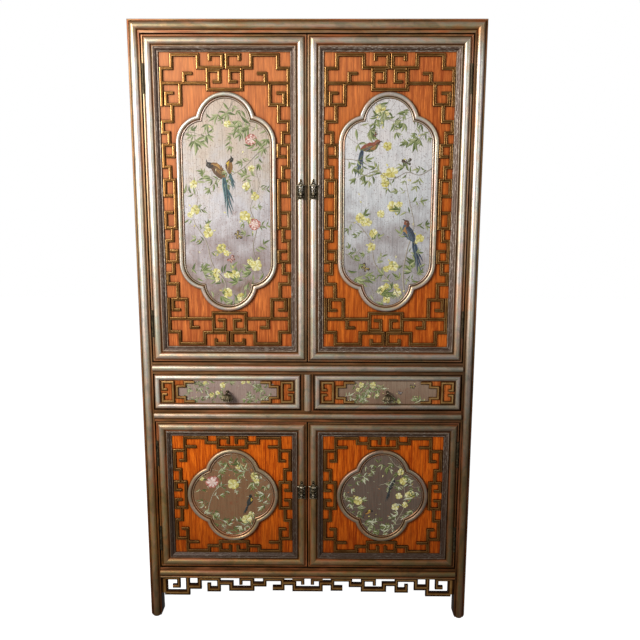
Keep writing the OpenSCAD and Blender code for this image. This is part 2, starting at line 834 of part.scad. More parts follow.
// Drawer front with a half-round border round a sunk painted field
module drawer_front() {
  translate([post_w + gap, 0, drawer_z + gap]) {
    difference() {
      box(0, front_w, face_d, face_d + front_t, 0, front_h);
      box(drawer_margin, front_w - drawer_margin, face_d - 1, field_d,
        drawer_margin, front_h - drawer_margin);
    }
    mitred(front_w, front_h, face_d - drawer_round_rise, face_d)
      translate([
        drawer_fillet + drawer_round_w / 2,
        face_d - drawer_round_rise + drawer_r
      ]) circle(r = drawer_r);
  }
}

module drawer_fret() {
  translate([drawer_mid_x, 0, drawer_z + drawer_open_h / 2]) {
    front_slab(field_d - fret_t, field_d) end_outline();
  }
}

module end_outline() {
  e = drawer_fret_w / 2;
  kx = field_w / ENDS_DRAWN[0];
  kz = field_h / ENDS_DRAWN[1];
  for (m = [0, 1], n = [0, 1]) mirror([m, 0]) mirror([0, n]) for (b = ENDS) {
    z0 = b[1] * kz - (b[1] > 0 ? e : 0);
    z1 = b[3] * kz + e;
    translate([b[0] * kx - e - field_w / 2, z0])
      square([(b[2] - b[0]) * kx + 2 * e, z1 - z0]);
  }
}

module drawer_box() {
  d0 = face_d + front_t;
  d1 = d0 + box_l;
  box(box_x, box_x + box_t, d0, d1, box_z, box_z + box_h);
  box(box_x + box_w - box_t, box_x + box_w, d0, d1, box_z, box_z + box_h);
  box(box_x + box_t, box_x + box_w - box_t, d1 - box_t, d1,
    box_z + 4, box_z + box_h - 8);
}

module drawer_bottom() {
  d0 = face_d + front_t;
  box(box_x + box_t, box_x + box_w - box_t, d0, d0 + box_l - box_t,
    box_z + 8, box_z + 8 + box_bottom_t);
}

// Round boss with a forked bracket and a pin for the bell drop
module drawer_rosette() {
  translate([drawer_mid_x, field_d, bell_z]) rotate([90, 0, 0]) {
    cylinder(r = rosette_r, h = rosette_t - 1);
    cylinder(r = rosette_r - 0.5, h = rosette_t);
  }
  for (s = [-1, 1]) box(drawer_mid_x + s * fork_x - fork_t / 2,
    drawer_mid_x + s * fork_x + fork_t / 2, bell_d - fork_h / 2, field_d - rosette_t,
    bell_z - fork_h / 2, bell_z + fork_h / 2);
  translate([drawer_mid_x - pin_half, bell_d, bell_z]) rotate([0, 90, 0])
    cylinder(r = drop_pin_r, h = 2 * pin_half);
}

// Squat bell, flattened front and back, with an eye that hangs on the pin
module drawer_drop() {
  difference() {
    union() {
      translate([drawer_mid_x - bell_eye / 2, bell_d, bell_z]) rotate([0, 90, 0])
        cylinder(r = eye_r, h = bell_eye);
      intersection() {
        translate([drawer_mid_x, bell_d, bell_z - bell_l]) rotate_extrude() polygon([
          [0, 0], [bell_r - 1.6, 0], [bell_r, 1.4], [bell_r, 3.4], [bell_r * 0.93, 6],
          [bell_r * 0.86, bell_l * 0.34], [bell_r * 0.76, bell_l * 0.5],
          [bell_r * 0.62, bell_l * 0.66], [bell_r * 0.47, bell_l * 0.77],
          [bell_r * 0.3, bell_l - 5], [bell_r * 0.22, bell_l - 4.4], [1.9, bell_l - 4],
          [1.9, bell_l - 2], [0, bell_l - 2]
        ]);
        box(drawer_mid_x - 2 * bell_r, drawer_mid_x + 2 * bell_r,
          bell_d - bell_half, bell_d + bell_half, bell_z - 2 * bell_l, bell_z);
      }
    }
    translate([drawer_mid_x - bell_eye, bell_d, bell_z]) rotate([0, 90, 0])
      cylinder(r = drop_pin_r + pin_clear, h = 2 * bell_eye);
  }
}

module upper_frame() color("tan") door_frame(up_door_z, up_door_h);
module upper_moulding() color("dimgray") door_moulding(up_door_z, up_door_h);
module upper_panel() color("chocolate") door_panel(up_door_z, up_door_h, tall_p);
module upper_fret() color("goldenrod") door_fret(up_door_z, up_door_h, TALL, TALL_DRAWN, tall_field);
module upper_ring() color("silver") medallion_ring(up_door_z, up_door_h, tall_p);
module upper_hinges() color("dimgray") for (z = up_hinges) door_hinge(z);
module upper_plate() color("darkkhaki") door_plate(tall_pull_z);
module upper_drop() color("darkkhaki") door_drop(tall_pull_z);
module lower_frame() color("tan") door_frame(low_door_z, low_door_h);
module lower_moulding() color("dimgray") door_moulding(low_door_z, low_door_h);
module lower_panel() color("chocolate") door_panel(low_door_z, low_door_h, short_p);
module lower_fret() color("goldenrod") door_fret(low_door_z, low_door_h, SHORT, SHORT_DRAWN, short_field);
module lower_ring() color("rosybrown") medallion_ring(low_door_z, low_door_h, short_p);
module lower_hinges() color("dimgray") for (z = low_hinges) door_hinge(z);
module lower_plate() color("darkkhaki") door_plate(short_pull_z);
module lower_drop() color("darkkhaki") door_drop(short_pull_z);

module upper_left_frame() case_frame() upper_frame();
module upper_left_moulding() case_frame() upper_moulding();
module upper_left_panel() case_frame() upper_panel();
module upper_left_fret() case_frame() upper_fret();
module upper_left_ring() case_frame() upper_ring();
module upper_left_hinges() case_frame() upper_hinges();
module upper_left_plate() case_frame() upper_plate();
module upper_left_drop() case_frame() upper_drop();
module upper_right_frame() case_frame() other_side() upper_frame();
module upper_right_moulding() case_frame() other_side() upper_moulding();
module upper_right_panel() case_frame() other_side() upper_panel();
module upper_right_fret() case_frame() other_side() upper_fret();
module upper_right_ring() case_frame() other_side() upper_ring();
module upper_right_hinges() case_frame() other_side() upper_hinges();
module upper_right_plate() case_frame() other_side() upper_plate();
module upper_right_drop() case_frame() other_side() upper_drop();
module lower_left_frame() case_frame() lower_frame();
module lower_left_moulding() case_frame() lower_moulding();
module lower_left_panel() case_frame() lower_panel();
module lower_left_fret() case_frame() lower_fret();
module lower_left_ring() case_frame() lower_ring();
module lower_left_hinges() case_frame() lower_hinges();
module lower_left_plate() case_frame() lower_plate();
module lower_left_drop() case_frame() lower_drop();
module lower_right_frame() case_frame() other_side() lower_frame();
module lower_right_moulding() case_frame() other_side() lower_moulding();
module lower_right_panel() case_frame() other_side() lower_panel();
module lower_right_fret() case_frame() other_side() lower_fret();
module lower_right_ring() case_frame() other_side() lower_ring();
module lower_right_hinges() case_frame() other_side() lower_hinges();
module lower_right_plate() case_frame() other_side() lower_plate();
module lower_right_drop() case_frame() other_side() lower_drop();
module left_drawer_front() color("tan") case_frame() drawer_front();
module left_drawer_fret() color("goldenrod") case_frame() drawer_fret();
module left_drawer_box() color("burlywood") case_frame() drawer_box();
module left_drawer_bottom() color("burlywood") case_frame() drawer_bottom();
module left_drawer_rosette() color("dimgray") case_frame() drawer_rosette();
module left_drawer_drop() color("dimgray") case_frame() drawer_drop();
module right_drawer_front() color("tan") case_frame() other_side() drawer_front();
module right_drawer_fret() color("goldenrod") case_frame() other_side() drawer_fret();
module right_drawer_box() color("burlywood") case_frame() other_side() drawer_box();
module right_drawer_bottom() color("burlywood") case_frame() other_side() drawer_bottom();
module right_drawer_rosette() color("dimgray") case_frame() other_side() drawer_rosette();
module right_drawer_drop() color("dimgray") case_frame() other_side() drawer_drop();

posts();
front_rails();
drawer_divider();
side_rails();
side_panels();
rear_rails();
back_panels();
top_board();
case_boards();
drawer_partition();
shelves();
inner_strips();
apron_fret();
case_hinges();
upper_left_frame();
upper_left_moulding();
upper_left_panel();
upper_left_fret();
upper_left_ring();
upper_left_hinges();
upper_left_plate();
upper_left_drop();
upper_right_frame();
upper_right_moulding();
upper_right_panel();
upper_right_fret();
upper_right_ring();
upper_right_hinges();
upper_right_plate();
upper_right_drop();
lower_left_frame();
lower_left_moulding();
lower_left_panel();
lower_left_fret();
lower_left_ring();
lower_left_hinges();
lower_left_plate();
lower_left_drop();
lower_right_frame();
lower_right_moulding();
lower_right_panel();
lower_right_fret();
lower_right_ring();
lower_right_hinges();
lower_right_plate();
lower_right_drop();
left_drawer_front();
left_drawer_fret();
left_drawer_box();
left_drawer_bottom();
left_drawer_rosette();
left_drawer_drop();
right_drawer_front();
right_drawer_fret();
right_drawer_box();
right_drawer_bottom();
right_drawer_rosette();
right_drawer_drop();
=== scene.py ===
import math
import random

import bmesh
import bpy
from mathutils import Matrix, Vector


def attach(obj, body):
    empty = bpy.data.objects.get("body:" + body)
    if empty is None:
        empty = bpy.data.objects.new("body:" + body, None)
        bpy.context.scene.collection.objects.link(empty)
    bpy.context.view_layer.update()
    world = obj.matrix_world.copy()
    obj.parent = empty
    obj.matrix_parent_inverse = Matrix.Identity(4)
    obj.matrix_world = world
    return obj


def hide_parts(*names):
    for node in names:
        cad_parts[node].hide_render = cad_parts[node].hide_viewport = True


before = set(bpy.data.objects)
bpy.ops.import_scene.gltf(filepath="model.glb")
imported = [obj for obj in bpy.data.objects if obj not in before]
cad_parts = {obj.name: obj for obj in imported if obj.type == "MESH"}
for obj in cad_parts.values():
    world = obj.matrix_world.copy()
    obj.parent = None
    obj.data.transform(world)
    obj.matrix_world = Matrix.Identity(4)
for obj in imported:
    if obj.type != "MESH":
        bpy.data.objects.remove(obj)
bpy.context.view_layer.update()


# Studio
# A white room with one soft box high on the left, so that the light falls off
# to the right and downward, and a weak fill. The camera stands nearly square on.

camera = bpy.data.objects.new("camera", bpy.data.cameras.new("camera"))
camera.data.lens = 36.56
camera.location = (0.0609, -2.48875, 1.478)
camera.rotation_euler = (math.radians(80.79), math.radians(-0.13), math.radians(0.46))
bpy.context.scene.collection.objects.link(camera)
bpy.context.scene.camera = camera
bpy.context.scene.view_settings.view_transform = "Standard"


def soft_box(name, place, aim, size, power, colour):
    light = bpy.data.objects.new(name, bpy.data.lights.new(name, "AREA"))
    light.data.shape = "RECTANGLE"
    light.data.size, light.data.size_y = size
    light.data.energy = power
    light.data.color = colour
    light.location = place
    light.rotation_euler = (Vector(aim) - Vector(place)).to_track_quat("-Z", "Y").to_euler()
    bpy.context.scene.collection.objects.link(light)


soft_box("high_left", (-2.2, -2.5, 2.35), (0, 0, 1.5), (1.3, 1.7), 138, (1, 0.98, 0.95))
soft_box("front_right", (3.2, -3.6, 1.9), (0, 0, 1.4), (1.0, 1.8), 34, (0.97, 0.98, 1))


class Nodes:
    """A node tree in the making; an input takes a number, a colour or an output."""

    def __init__(self, tree):
        self.tree = tree

    def feed(self, socket, value):
        if isinstance(value, bpy.types.NodeSocket):
            self.tree.links.new(value, socket)
        else:
            socket.default_value = (*value, 1) if socket.type == "RGBA" else value

    def add(self, kind, inputs=None, **settings):
        made = self.tree.nodes.new("ShaderNode" + kind)
        for key, value in settings.items():
            setattr(made, key, value)
        for key, value in (inputs or {}).items():
            self.feed(made.inputs[key], value)
        return made

    def spread(self, value, low, high, to_low=0.0, to_high=1.0):
        """Stretches low..high to to_low..to_high and clamps the rest."""
        return self.add("MapRange", {
            "Value": value, "From Min": low, "From Max": high, "To Min": to_low, "To Max": to_high,
        }).outputs["Result"]


class Finish(Nodes):
    """A material in the making; level and across are metres up and to the right."""

    def __init__(self, name):
        self.material = bpy.data.materials.new(name)
        self.material.use_nodes = True
        super().__init__(self.material.node_tree)
        self.shader = self.tree.nodes["Principled BSDF"]
        self.place = self.add("TexCoord").outputs["Object"]
        self.across, _, self.level = self.add("SeparateXYZ", {0: self.place}).outputs

    def grain(self):
        return self.add("UVMap", uv_map="grain").outputs["UV"]

    def layer(self, name, kind="Fac"):
        return self.add("Attribute", attribute_name=name).outputs[kind]

    def noise(self, vector, scale, detail=3, roughness=0.55):
        """A scale given by axis draws the noise out into streaks."""
        if isinstance(scale, tuple):
            vector, scale = self.add("Mapping", {"Vector": vector, "Scale": scale}).outputs[0], 1
        return self.add("TexNoise", {
            "Vector": vector, "Scale": scale, "Detail": detail, "Roughness": roughness,
        }).outputs["Fac"]

    def maths(self, operation, a, b, clamp=False):
        return self.add("Math", {0: a, 1: b}, operation=operation, use_clamp=clamp).outputs[0]

    def times(self, a, b):
        return self.maths("MULTIPLY", a, b)

    def plus(self, a, b, share=1, clamp=False):
        """Adds a share of b to a."""
        return self.maths("ADD", a, b if share == 1 else self.times(b, share), clamp)

    def stir(self, value, noise, reach):
        """Moves a value up and down by a noise."""
        return self.plus(value, self.maths("SUBTRACT", noise, 0.5), reach, True)

    def ramp(self, value, *stops):
        """A stop is a place and a colour's three parts."""
        made = self.add("ValToRGB", {"Fac": value})
        bands = made.color_ramp.elements
        while len(bands) < len(stops):
            bands.new(0.5)
        for band, (place, *colour) in zip(bands, stops):
            band.position = place
            band.color = (*colour, 1)
        return made.outputs["Color"]

    def mix(self, share, a, b, blend="MIX"):
        return self.add("Mix", {0: share, 6: a, 7: b}, data_type="RGBA", blend_type=blend).outputs[2]

    def fleck(self, colour, noise, low, high, reach, paint):
        """Paints over a colour where a noise rises from low to high."""
        return self.mix(self.spread(noise, low, high, 0, reach), colour, paint)

    def done(self, colour, rough, height, strength, distance, metallic=0.0):
        relief = self.add("Bump", {"Height": height, "Strength": strength, "Distance": distance})
        for name, value in (("Base Color", colour), ("Roughness", rough), ("Metallic", metallic),
                            ("Normal", relief.outputs["Normal"])):
            self.feed(self.shader.inputs[name], value)
        return self.material


def floor_material():
    f = Finish("studio_floor")
    grey = f.ramp(f.noise(f.place, 3), (0, 0.3, 0.3, 0.3), (1, 0.34, 0.34, 0.34))
    for name, value in (("Base Color", grey), ("Roughness", 0.8), ("Emission Color", (1, 1, 1)),
                        ("Emission Strength", 1)):
        f.feed(f.shader.inputs[name], value)
    return f.material


bm = bmesh.new()
bmesh.ops.create_grid(bm, x_segments=1, y_segments=1, size=9)
floor = bpy.data.objects.new("floor", bpy.data.meshes.new("floor"))
bm.to_mesh(floor.data)
bm.free()
floor.data.materials.append(floor_material())
bpy.context.scene.collection.objects.link(floor)
floor.visible_diffuse = floor.visible_glossy = False

world = bpy.data.worlds.new("white_room")
world.use_nodes = True
bpy.context.scene.world = world
room = Nodes(world.node_tree)
background = room.tree.nodes["Background"].inputs
seen = room.add("LightPath").outputs["Is Camera Ray"]
room.feed(background["Strength"], room.spread(seen, 0, 1, 0.15, 1))
room.feed(background["Color"], (1, 1, 1))


# Posts
# Four square softwood posts. The front pair carries a planted half-round
# between two flat strips, finished in silver leaf over an orange-red ground.
# It is darker in the quirks and duller the nearer it is to the floor, partly
# from toning and rubbing and partly as painted shade.

CASE_W, CASE_H = 1165, 2100
POST_W = 40
FILLET_D = 8
REAR_D, BACK_D = 538, 580
MIDDLE_D = 279.75


def at(x, z, d):
    """From the cabinet's left edge, the floor and the moulding crests, in mm."""
    return Vector(((x - CASE_W / 2) / 1000, (d - MIDDLE_D) / 1000, z / 1000))


class Work:
    """A mesh in the making, with the layers that the finishes read."""

    def __init__(self):
        self.bm = bmesh.new()
        self.grain = self.bm.loops.layers.uv.new("grain")
        self.tint = self.bm.loops.layers.float_color.new("tint")
        # crest is each point's tone on its profile, which the finishes turn to colour: paler on crests and
        # arrises, darkest in quirks; partly the finish's own toning, partly painted highlight and painted
        # shade
        self.crest = self.bm.verts.layers.float.new("crest")
        self.girth = self.bm.verts.layers.float.new("girth")

    def vert(self, place, crest=0.5):
        made = self.bm.verts.new(place)
        made[self.crest] = crest
        return made

    def grow(self, verts, move):
        """Closes verts to a face and carries a copy of it by move; returns the copy."""
        grown = bmesh.ops.extrude_face_region(self.bm, geom=[self.bm.faces.new(verts)])["geom"]
        far = [part for part in grown if isinstance(part, bmesh.types.BMVert)]
        bmesh.ops.translate(self.bm, verts=far, vec=move)
        return far

    def skin(self, rows):
        """Faces between rows of vertices, each row a closed line."""
        faces = []
        for low, high in zip(rows, rows[1:]):
            for k in range(len(low)):
                n = (k + 1) % len(low)
                faces.append(self.bm.faces.new((low[k], low[n], high[n], high[k])))
        return faces

    def ridge(self, points, widths, rise, bright=(0.5, 0.5, 0.5, 0.5), foot=None):
        """A raised line through points (x, z, depth). Its section has a left edge, a
        crest, a right edge and an underside, which lies at depth foot or 1 mm in."""
        rows = []
        for n, ((x, z, d), width) in enumerate(zip(points, widths)):
            a, b = points[max(n - 1, 0)], points[min(n + 1, len(points) - 1)]
            run = math.dist(a[:2], b[:2]) or 1
            nx, nz = -(b[1] - a[1]) / run * width / 2, (b[0] - a[0]) / run * width / 2
            corners = ((x + nx, z + nz, d), (x, z, d - rise), (x - nx, z - nz, d),
                       (x, z, d + 1 if foot is None else foot))
            rows.append([self.vert(at(*corner), tone) for corner, tone in zip(corners, bright)])
        return [self.bm.faces.new(rows[0]), self.bm.faces.new(rows[-1]), *self.skin(rows)]

    def done(self, name, material, body, slot, replaced=None, angle=35):
        bm = self.bm
        bmesh.ops.recalc_face_normals(bm, faces=bm.faces)
        for edge in bm.edges:
            edge.smooth = edge.calc_face_angle(0) < math.radians(angle)
        for face in bm.faces:
            face.smooth = True
        mesh = bpy.data.meshes.new(name)
        bm.to_mesh(mesh)
        bm.free()
        made = bpy.data.objects.new(name, mesh)
        bpy.context.scene.collection.objects.link(made)
        mesh.materials.append(material)
        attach(made, body)
        if replaced:
            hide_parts(replaced)

    def dress(self, node, material, body, slot, angle=35):
        """Covers a node of the frame."""
        self.done(node + "_dressed", material, body, slot, node, angle)


def arc(a0, a1, base, crest):
    """Half-round profile points (across, depth, brightness) from a0 to a1."""
    half, rise = (a1 - a0) / 2, base - crest
    radius = (half * half + rise * rise) / (2 * rise)
    reach = math.asin(min(1, half / radius)) if rise <= half else math.pi - math.asin(half / radius)
    points = []
    for i in range(13):
        t = reach * (i / 6 - 1)
        lift = (math.cos(t) - math.cos(reach)) / (1 - math.cos(reach))
        across, depth = (a0 + a1) / 2 + radius * math.sin(t), crest + radius * (1 - math.cos(t))
        points.append((across, depth, 0.3 + 0.7 * lift ** 0.85))
    return points


def rail_outline(width, round_w, crest_d, face, back):
    """A board edge with a half-round between two flat strips, quirked in."""
    a0, a1, quirk = (width - round_w) / 2, (width + round_w) / 2, face + 1.2
    return [
        (0, back, 0.1), (0, face + 1, 0.15), (1, face, 0.42), (a0 - 1.6, face, 0.34), (a0 - 0.7, quirk, 0.0),
        *arc(a0, a1, face, crest_d), (a1 + 0.7, quirk, 0.0), (a1 + 1.6, face, 0.34), (width - 1, face, 0.42),
        (width, face + 1, 0.15), (width, back, 0.1),
    ]


marks = random.Random(11)


def strip(work, outline, start, end, side, deep=(0, 1, 0), cuts=(0, 0), limit=1e9):
    """Extrudes an outline (across, depth, brightness) from start to end. side and
    deep point across and inward; a cut of 1 slopes that end as a mitre does."""
    side, deep, along = Vector(side), Vector(deep), (end - start).normalized()
    near, girth = [], 0
    for n, (across, depth, bright) in enumerate(outline):
        if n:
            girth += math.dist((across, depth), outline[n - 1][:2]) / 1000
        near.append(work.vert(start + (side * across + deep * depth) / 1000, bright))
        near[-1][work.girth] = girth
    far = work.grow(near, end - start)
    for verts, origin, slope in ((near, start, cuts[0]), (far, end, -cuts[1])):
        for vert in verts:
            vert.co += along * slope * min((vert.co - origin).dot(side), limit / 1000)
    shift = (marks.uniform(0, 40), marks.uniform(0, 40))
    for face in {face for vert in far for face in vert.link_faces}:
        for loop in face.loops:
            run = (loop.vert.co - start).dot(along)
            loop[work.grain].uv = (shift[0] + run, shift[1] + loop.vert[work.girth])


def leaf_material(name, low_z, high_z, silver=1.0, rub=0.5):
    """Worn silver leaf: pale on the crests, gold-brown on the flanks, dark in the
    quirks, toned browner and greener by turns, and rubbed to its orange ground.
    The pale crests and dark quirks are partly painted highlight and painted shade,
    and the duller tone lower down is partly wear and partly painted shade."""
    f = Finish(name)
    grain, crest = f.grain(), f.layer("crest")
    # Duller lower down, partly rubbing and partly painted shade where less light falls; dulled over the top
    # rail too, as painted shade
    height = f.times(f.spread(f.level, low_z, high_z), f.spread(f.level, 1.97, 2.06, 1, 0.2))
    streaks = f.noise(grain, (9, 420, 1), 4)
    patches = f.noise(grain, (5, 28, 1), 4, 0.6)
    bands = f.noise(grain, (3, 130, 1))
    turns = f.noise(grain, (7, 11, 1), 3, 0.6)
    nicks = f.noise(grain, (55, 620, 1), 3, 0.7)
    fine = f.noise(f.place, 520, 2)
    lift = f.stir(crest, streaks, 0.5)
    bright = f.ramp(
        lift, (0, 0.015, 0.005, 0.001), (0.2, 0.1, 0.04, 0.009), (0.4, 0.31, 0.175, 0.08),
        (0.56, 0.5, 0.37, 0.25), (0.72, *(c * silver for c in (0.76, 0.66, 0.56))),
        (0.92, *(c * silver for c in (0.92, 0.86, 0.8))))
    dull = f.ramp(
        lift, (0, 0.008, 0.003, 0.001), (0.2, 0.06, 0.018, 0.003), (0.38, 0.22, 0.075, 0.014),
        (0.55, 0.33, 0.13, 0.028), (0.72, 0.35, 0.175, 0.055), (0.95, 0.37, 0.23, 0.1))
    colour = f.mix(f.stir(height, patches, 0.8), dull, bright)
    colour = f.mix(1.0, colour, f.ramp(
        bands, (0.32, 1, 0.88, 0.7), (0.44, 0.88, 0.92, 0.82), (0.52, 1, 0.98, 0.96),
        (0.6, 0.98, 0.89, 0.97), (0.7, 1, 0.92, 0.78)), "MULTIPLY")
    toned = f.mix(1.0, colour, f.ramp(
        turns, (0.34, 1.1, 0.84, 0.66), (0.44, 0.82, 1.0, 1.05), (0.5, 1.1, 1.02, 0.94),
        (0.57, 0.66, 0.76, 0.78), (0.66, 1.12, 0.86, 0.72)), "MULTIPLY")
    colour = f.mix(f.spread(height, 0, 1, 1, 0.55), colour, toned)
    # The orange ground shows in long lines on the flanks, and in rubbed patches
    flank = f.times(f.spread(crest, 0.3, 0.42), f.spread(crest, 0.9, 0.68))
    lines = f.times(flank, f.spread(patches, 0.46, 0.6))
    rubbed = f.times(f.spread(patches, 0.53, 0.65), f.spread(height, 0, 1, rub, rub * 0.3))
    bared = f.plus(f.times(lines, f.spread(height, 0, 1, 0.8, 0.35)), rubbed, clamp=True)
    ground = f.mix(f.spread(streaks, 0.3, 0.7), (0.2, 0.05, 0.012), (0.48, 0.16, 0.05))
    colour = f.mix(bared, colour, ground)
    colour = f.fleck(colour, nicks, 0.6, 0.68, 0.65, (0.09, 0.035, 0.01))
    colour = f.fleck(colour, fine, 0.62, 0.72, 0.5, (0.1, 0.045, 0.015))
    # Painted shade where less light reaches the lower right; the colour also darkens toward the feet
    far = f.times(f.spread(f.level, 0.92, 1.15, 0.5, 0), f.spread(f.across, -0.3, 0.5))
    far = f.maths("MAXIMUM", far, f.spread(f.level, 0.03, 0.3, 0.6, 0))
    colour = f.mix(far, colour, (0.01, 0.004, 0.001))
    return f.done(colour, f.spread(streaks, 0.2, 0.8, 0.32, 0.52), f.plus(streaks, fine, 0.4), 0.4, 0.0006,
                  f.spread(bared, 0, 1, 0.6, 0.2))


case_leaf = leaf_material("case_silver_leaf", 0.5, 1.3)

work = Work()
front_post = rail_outline(POST_W, 25, 0, FILLET_D, 50)
rear_post = [(0, BACK_D, 0.3), (0, REAR_D + 1, 0.4), (1, REAR_D, 0.6), (39, REAR_D, 0.6),
             (40, REAR_D + 1, 0.4), (40, BACK_D, 0.3)]
SIDES = ((0, (1, 0, 0)), (CASE_W, (-1, 0, 0)))
for x, inward in SIDES:
    strip(work, front_post, at(x, 0, 0), at(x, CASE_H, 0), inward, cuts=(0, 1))
    strip(work, rear_post, at(x, 0, 0), at(x, CASE_H, 0), inward)
# The feet are eased inward over their last 8 mm
whole = work.bm.verts[:] + work.bm.edges[:] + work.bm.faces[:]
bmesh.ops.bisect_plane(work.bm, geom=whole, plane_co=(0, 0, 0.008), plane_no=(0, 0, 1))
for vert in work.bm.verts:
    if vert.co.z < 0.001:
        middle = math.copysign((CASE_W - POST_W) / 2000, vert.co.x)
        vert.co.x = min(max(vert.co.x, middle - 0.016), middle + 0.016)
work.dress("posts", case_leaf, "case", "silver_leaf")


# Front rails
# The top rail is mitred into the posts' mouldings; the three lower rails butt
# against the posts and each carries a half-round, the bottom one a bead too.

RAILS = ((150, 42), (752, 42), (925, 42))
TOP_RAIL = (2056.5, 43.5)

work = Work()
top_outline = [
    (0, 38, 0.2), (0, 9, 0.3), (1, 8, 0.7), (5.3, 8, 0.5), (6.6, 9.2, 0), *arc(7.5, 32.5, 8, 0),
    (33.4, 9.2, 0), (34.7, 8, 0.5), (42.5, 8, 0.75), (43.5, 9, 0.3), (43.5, 38, 0.2),
]
strip(work, top_outline, at(0, CASE_H, 0), at(CASE_W, CASE_H, 0), (0, 0, -1), cuts=(1, 1), limit=POST_W)
for z, height in RAILS:
    outline = rail_outline(height, 21, 1, FILLET_D, 38)
    strip(work, outline, at(POST_W, z, 0), at(CASE_W - POST_W, z, 0), (0, 0, 1))
turns = [t * math.pi / 10 for t in range(11)]
bead = [(0, 8.5, 0.2), *[(4 - 4 * math.cos(t), 8 - 4 * math.sin(t), 0.3 + 0.6 * math.sin(t)) for t in turns],
        (8, 8.5, 0.2)]
strip(work, bead, at(POST_W, 150.2, 0), at(CASE_W - POST_W, 150.2, 0), (0, 0, 1))
work.dress("front_rails", case_leaf, "case", "silver_leaf")

# The upright between the drawers repeats the posts' moulding.
work = Work()
strip(work, rail_outline(43, 25, 0, FILLET_D, 38), at(561, 794, 0), at(561, 925, 0), (1, 0, 0))
work.dress("drawer_divider", case_leaf, "case", "silver_leaf")


# Sides
# Side rails level with the front ones, and orange lacquered panels between
# them, each behind a planted square frame.

OPENINGS = ((192, 752), (794, 925), (967, 2056.5))

work = Work()
for x, inward in SIDES:
    for z, height in (*RAILS, TOP_RAIL):
        strip(work, rail_outline(height, 21, 1, 6, 40), at(x, z, 50), at(x, z, REAR_D), (0, 0, 1), inward)
work.dress("side_rails", case_leaf, "case", "silver_leaf")


def strie_material(name, deep, pale, painted_sheen=0.0, shade=0.0):
    """Orange lacquer dragged with a dry brush in fine upright strokes. A painted
    sheen of light pales it toward the top left, and painted shade deepens it on
    the right and darkens it toward the floor."""
    f = Finish(name)
    fine = f.noise(f.place, (290, 290, 14), 5, 0.7)
    broad = f.noise(f.place, (110, 110, 4))
    dashes = f.noise(f.place, (430, 430, 26), 2)
    stroke = f.plus(f.times(fine, 0.65), broad, 0.35)
    colour = f.mix(f.spread(stroke, 0.42, 0.57), deep, pale)
    colour = f.fleck(colour, fine, 0.57, 0.66, 0.7, tuple(min(1, 1.45 * c) for c in pale))
    colour = f.fleck(colour, broad, 0.6, 0.7, 0.55, (0.17, 0.03, 0.004))
    colour = f.fleck(colour, dashes, 0.6, 0.68, 0.6, (0.16, 0.024, 0.003))
    # Painted sheen of light toward the top left, and painted shade that deepens the orange on the right below
    # the top
    if painted_sheen:
        painted_sheen_share = f.times(f.spread(f.level, 1.05, 2.0, 0.09, painted_sheen), f.spread(f.across, -0.5, 0.5, 1, 0.12))
        painted_sheen_share = f.times(painted_sheen_share, f.spread(f.noise(f.place, 4), 0.35, 0.65, 0.75, 1.1))
        colour = f.mix(painted_sheen_share, colour, (0.76, 0.34, 0.15))
        right_painted_shade = f.times(f.spread(f.across, -0.1, 0.1), f.spread(f.level, 1.95, 1.5))
        colour = f.mix(right_painted_shade, colour, f.mix(1.0, colour, (0.96, 0.84, 0.42), "MULTIPLY"))
    if shade:
        shaded = f.maths("MAXIMUM", f.spread(f.level, 0.2, 0.62, shade, 0),
                         f.spread(f.across, -0.3, 0.1, 0, shade * 0.4))
        colour = f.mix(shaded, colour, (0.05, 0.006, 0.0))
    # Painted shade in the corners where a bar or a moulding meets the panel, standing also for the brown
    # glaze left there
    corner = f.add("AmbientOcclusion", {"Distance": 0.014}, samples=8).outputs["AO"]
    colour = f.mix(f.spread(corner, 0.3, 0.95, 0.9, 0), colour, (0.08, 0.02, 0.003))
    f.shader.inputs["Specular IOR Level"].default_value = 0.15
    return f.done(colour, f.spread(fine, 0.3, 0.7, 0.34, 0.52), stroke, 0.35, 0.0005)


# The side panels carry a painted sheen of light toward the top on the left and a little painted shade toward
# the floor
side_orange = strie_material("side_orange_lacquer", (0.34, 0.07, 0.01), (0.6, 0.18, 0.035), 0.3, 0.15)
work = Work()
for x, inward in SIDES:
    for z0, z1 in OPENINGS:
        plate = [(0, 22, 0.5), (0, 14, 0.5), (z1 - z0, 14, 0.5), (z1 - z0, 22, 0.5)]
        strip(work, plate, at(x, z0, 50), at(x, z0, REAR_D), (0, 0, 1), inward)
work.done("side_panels_lacquered", side_orange, "case", "orange_lacquer", "side_panels")

work = Work()
planted = [(0, 14, 0.1), (0, 9, 0.4), (1, 8, 0.8), (5, 8, 0.6), (8, 9.5, 0.5), (10.5, 12.5, 0.2),
           (12, 14, 0.05)]
for x, inward in SIDES:
    for z0, z1 in OPENINGS:
        low, high, low_rear, high_rear = at(x, z0, 50), at(x, z1, 50), at(x, z0, REAR_D), at(x, z1, REAR_D)
        for start, end, side in ((low, low_rear, (0, 0, 1)), (high, high_rear, (0, 0, -1)),
                                 (low, high, (0, 1, 0)), (low_rear, high_rear, (0, -1, 0))):
            strip(work, planted, start, end, side, inward, (1, 1))
work.done("side_panel_beads", case_leaf, "case", "silver_leaf")


# Apron
# Pierced fretwork of gilded bars hung under the bottom rail, each bar with a
# raised middle and darker edges, partly brown glaze and partly painted shade,
# mitred where two bars meet.

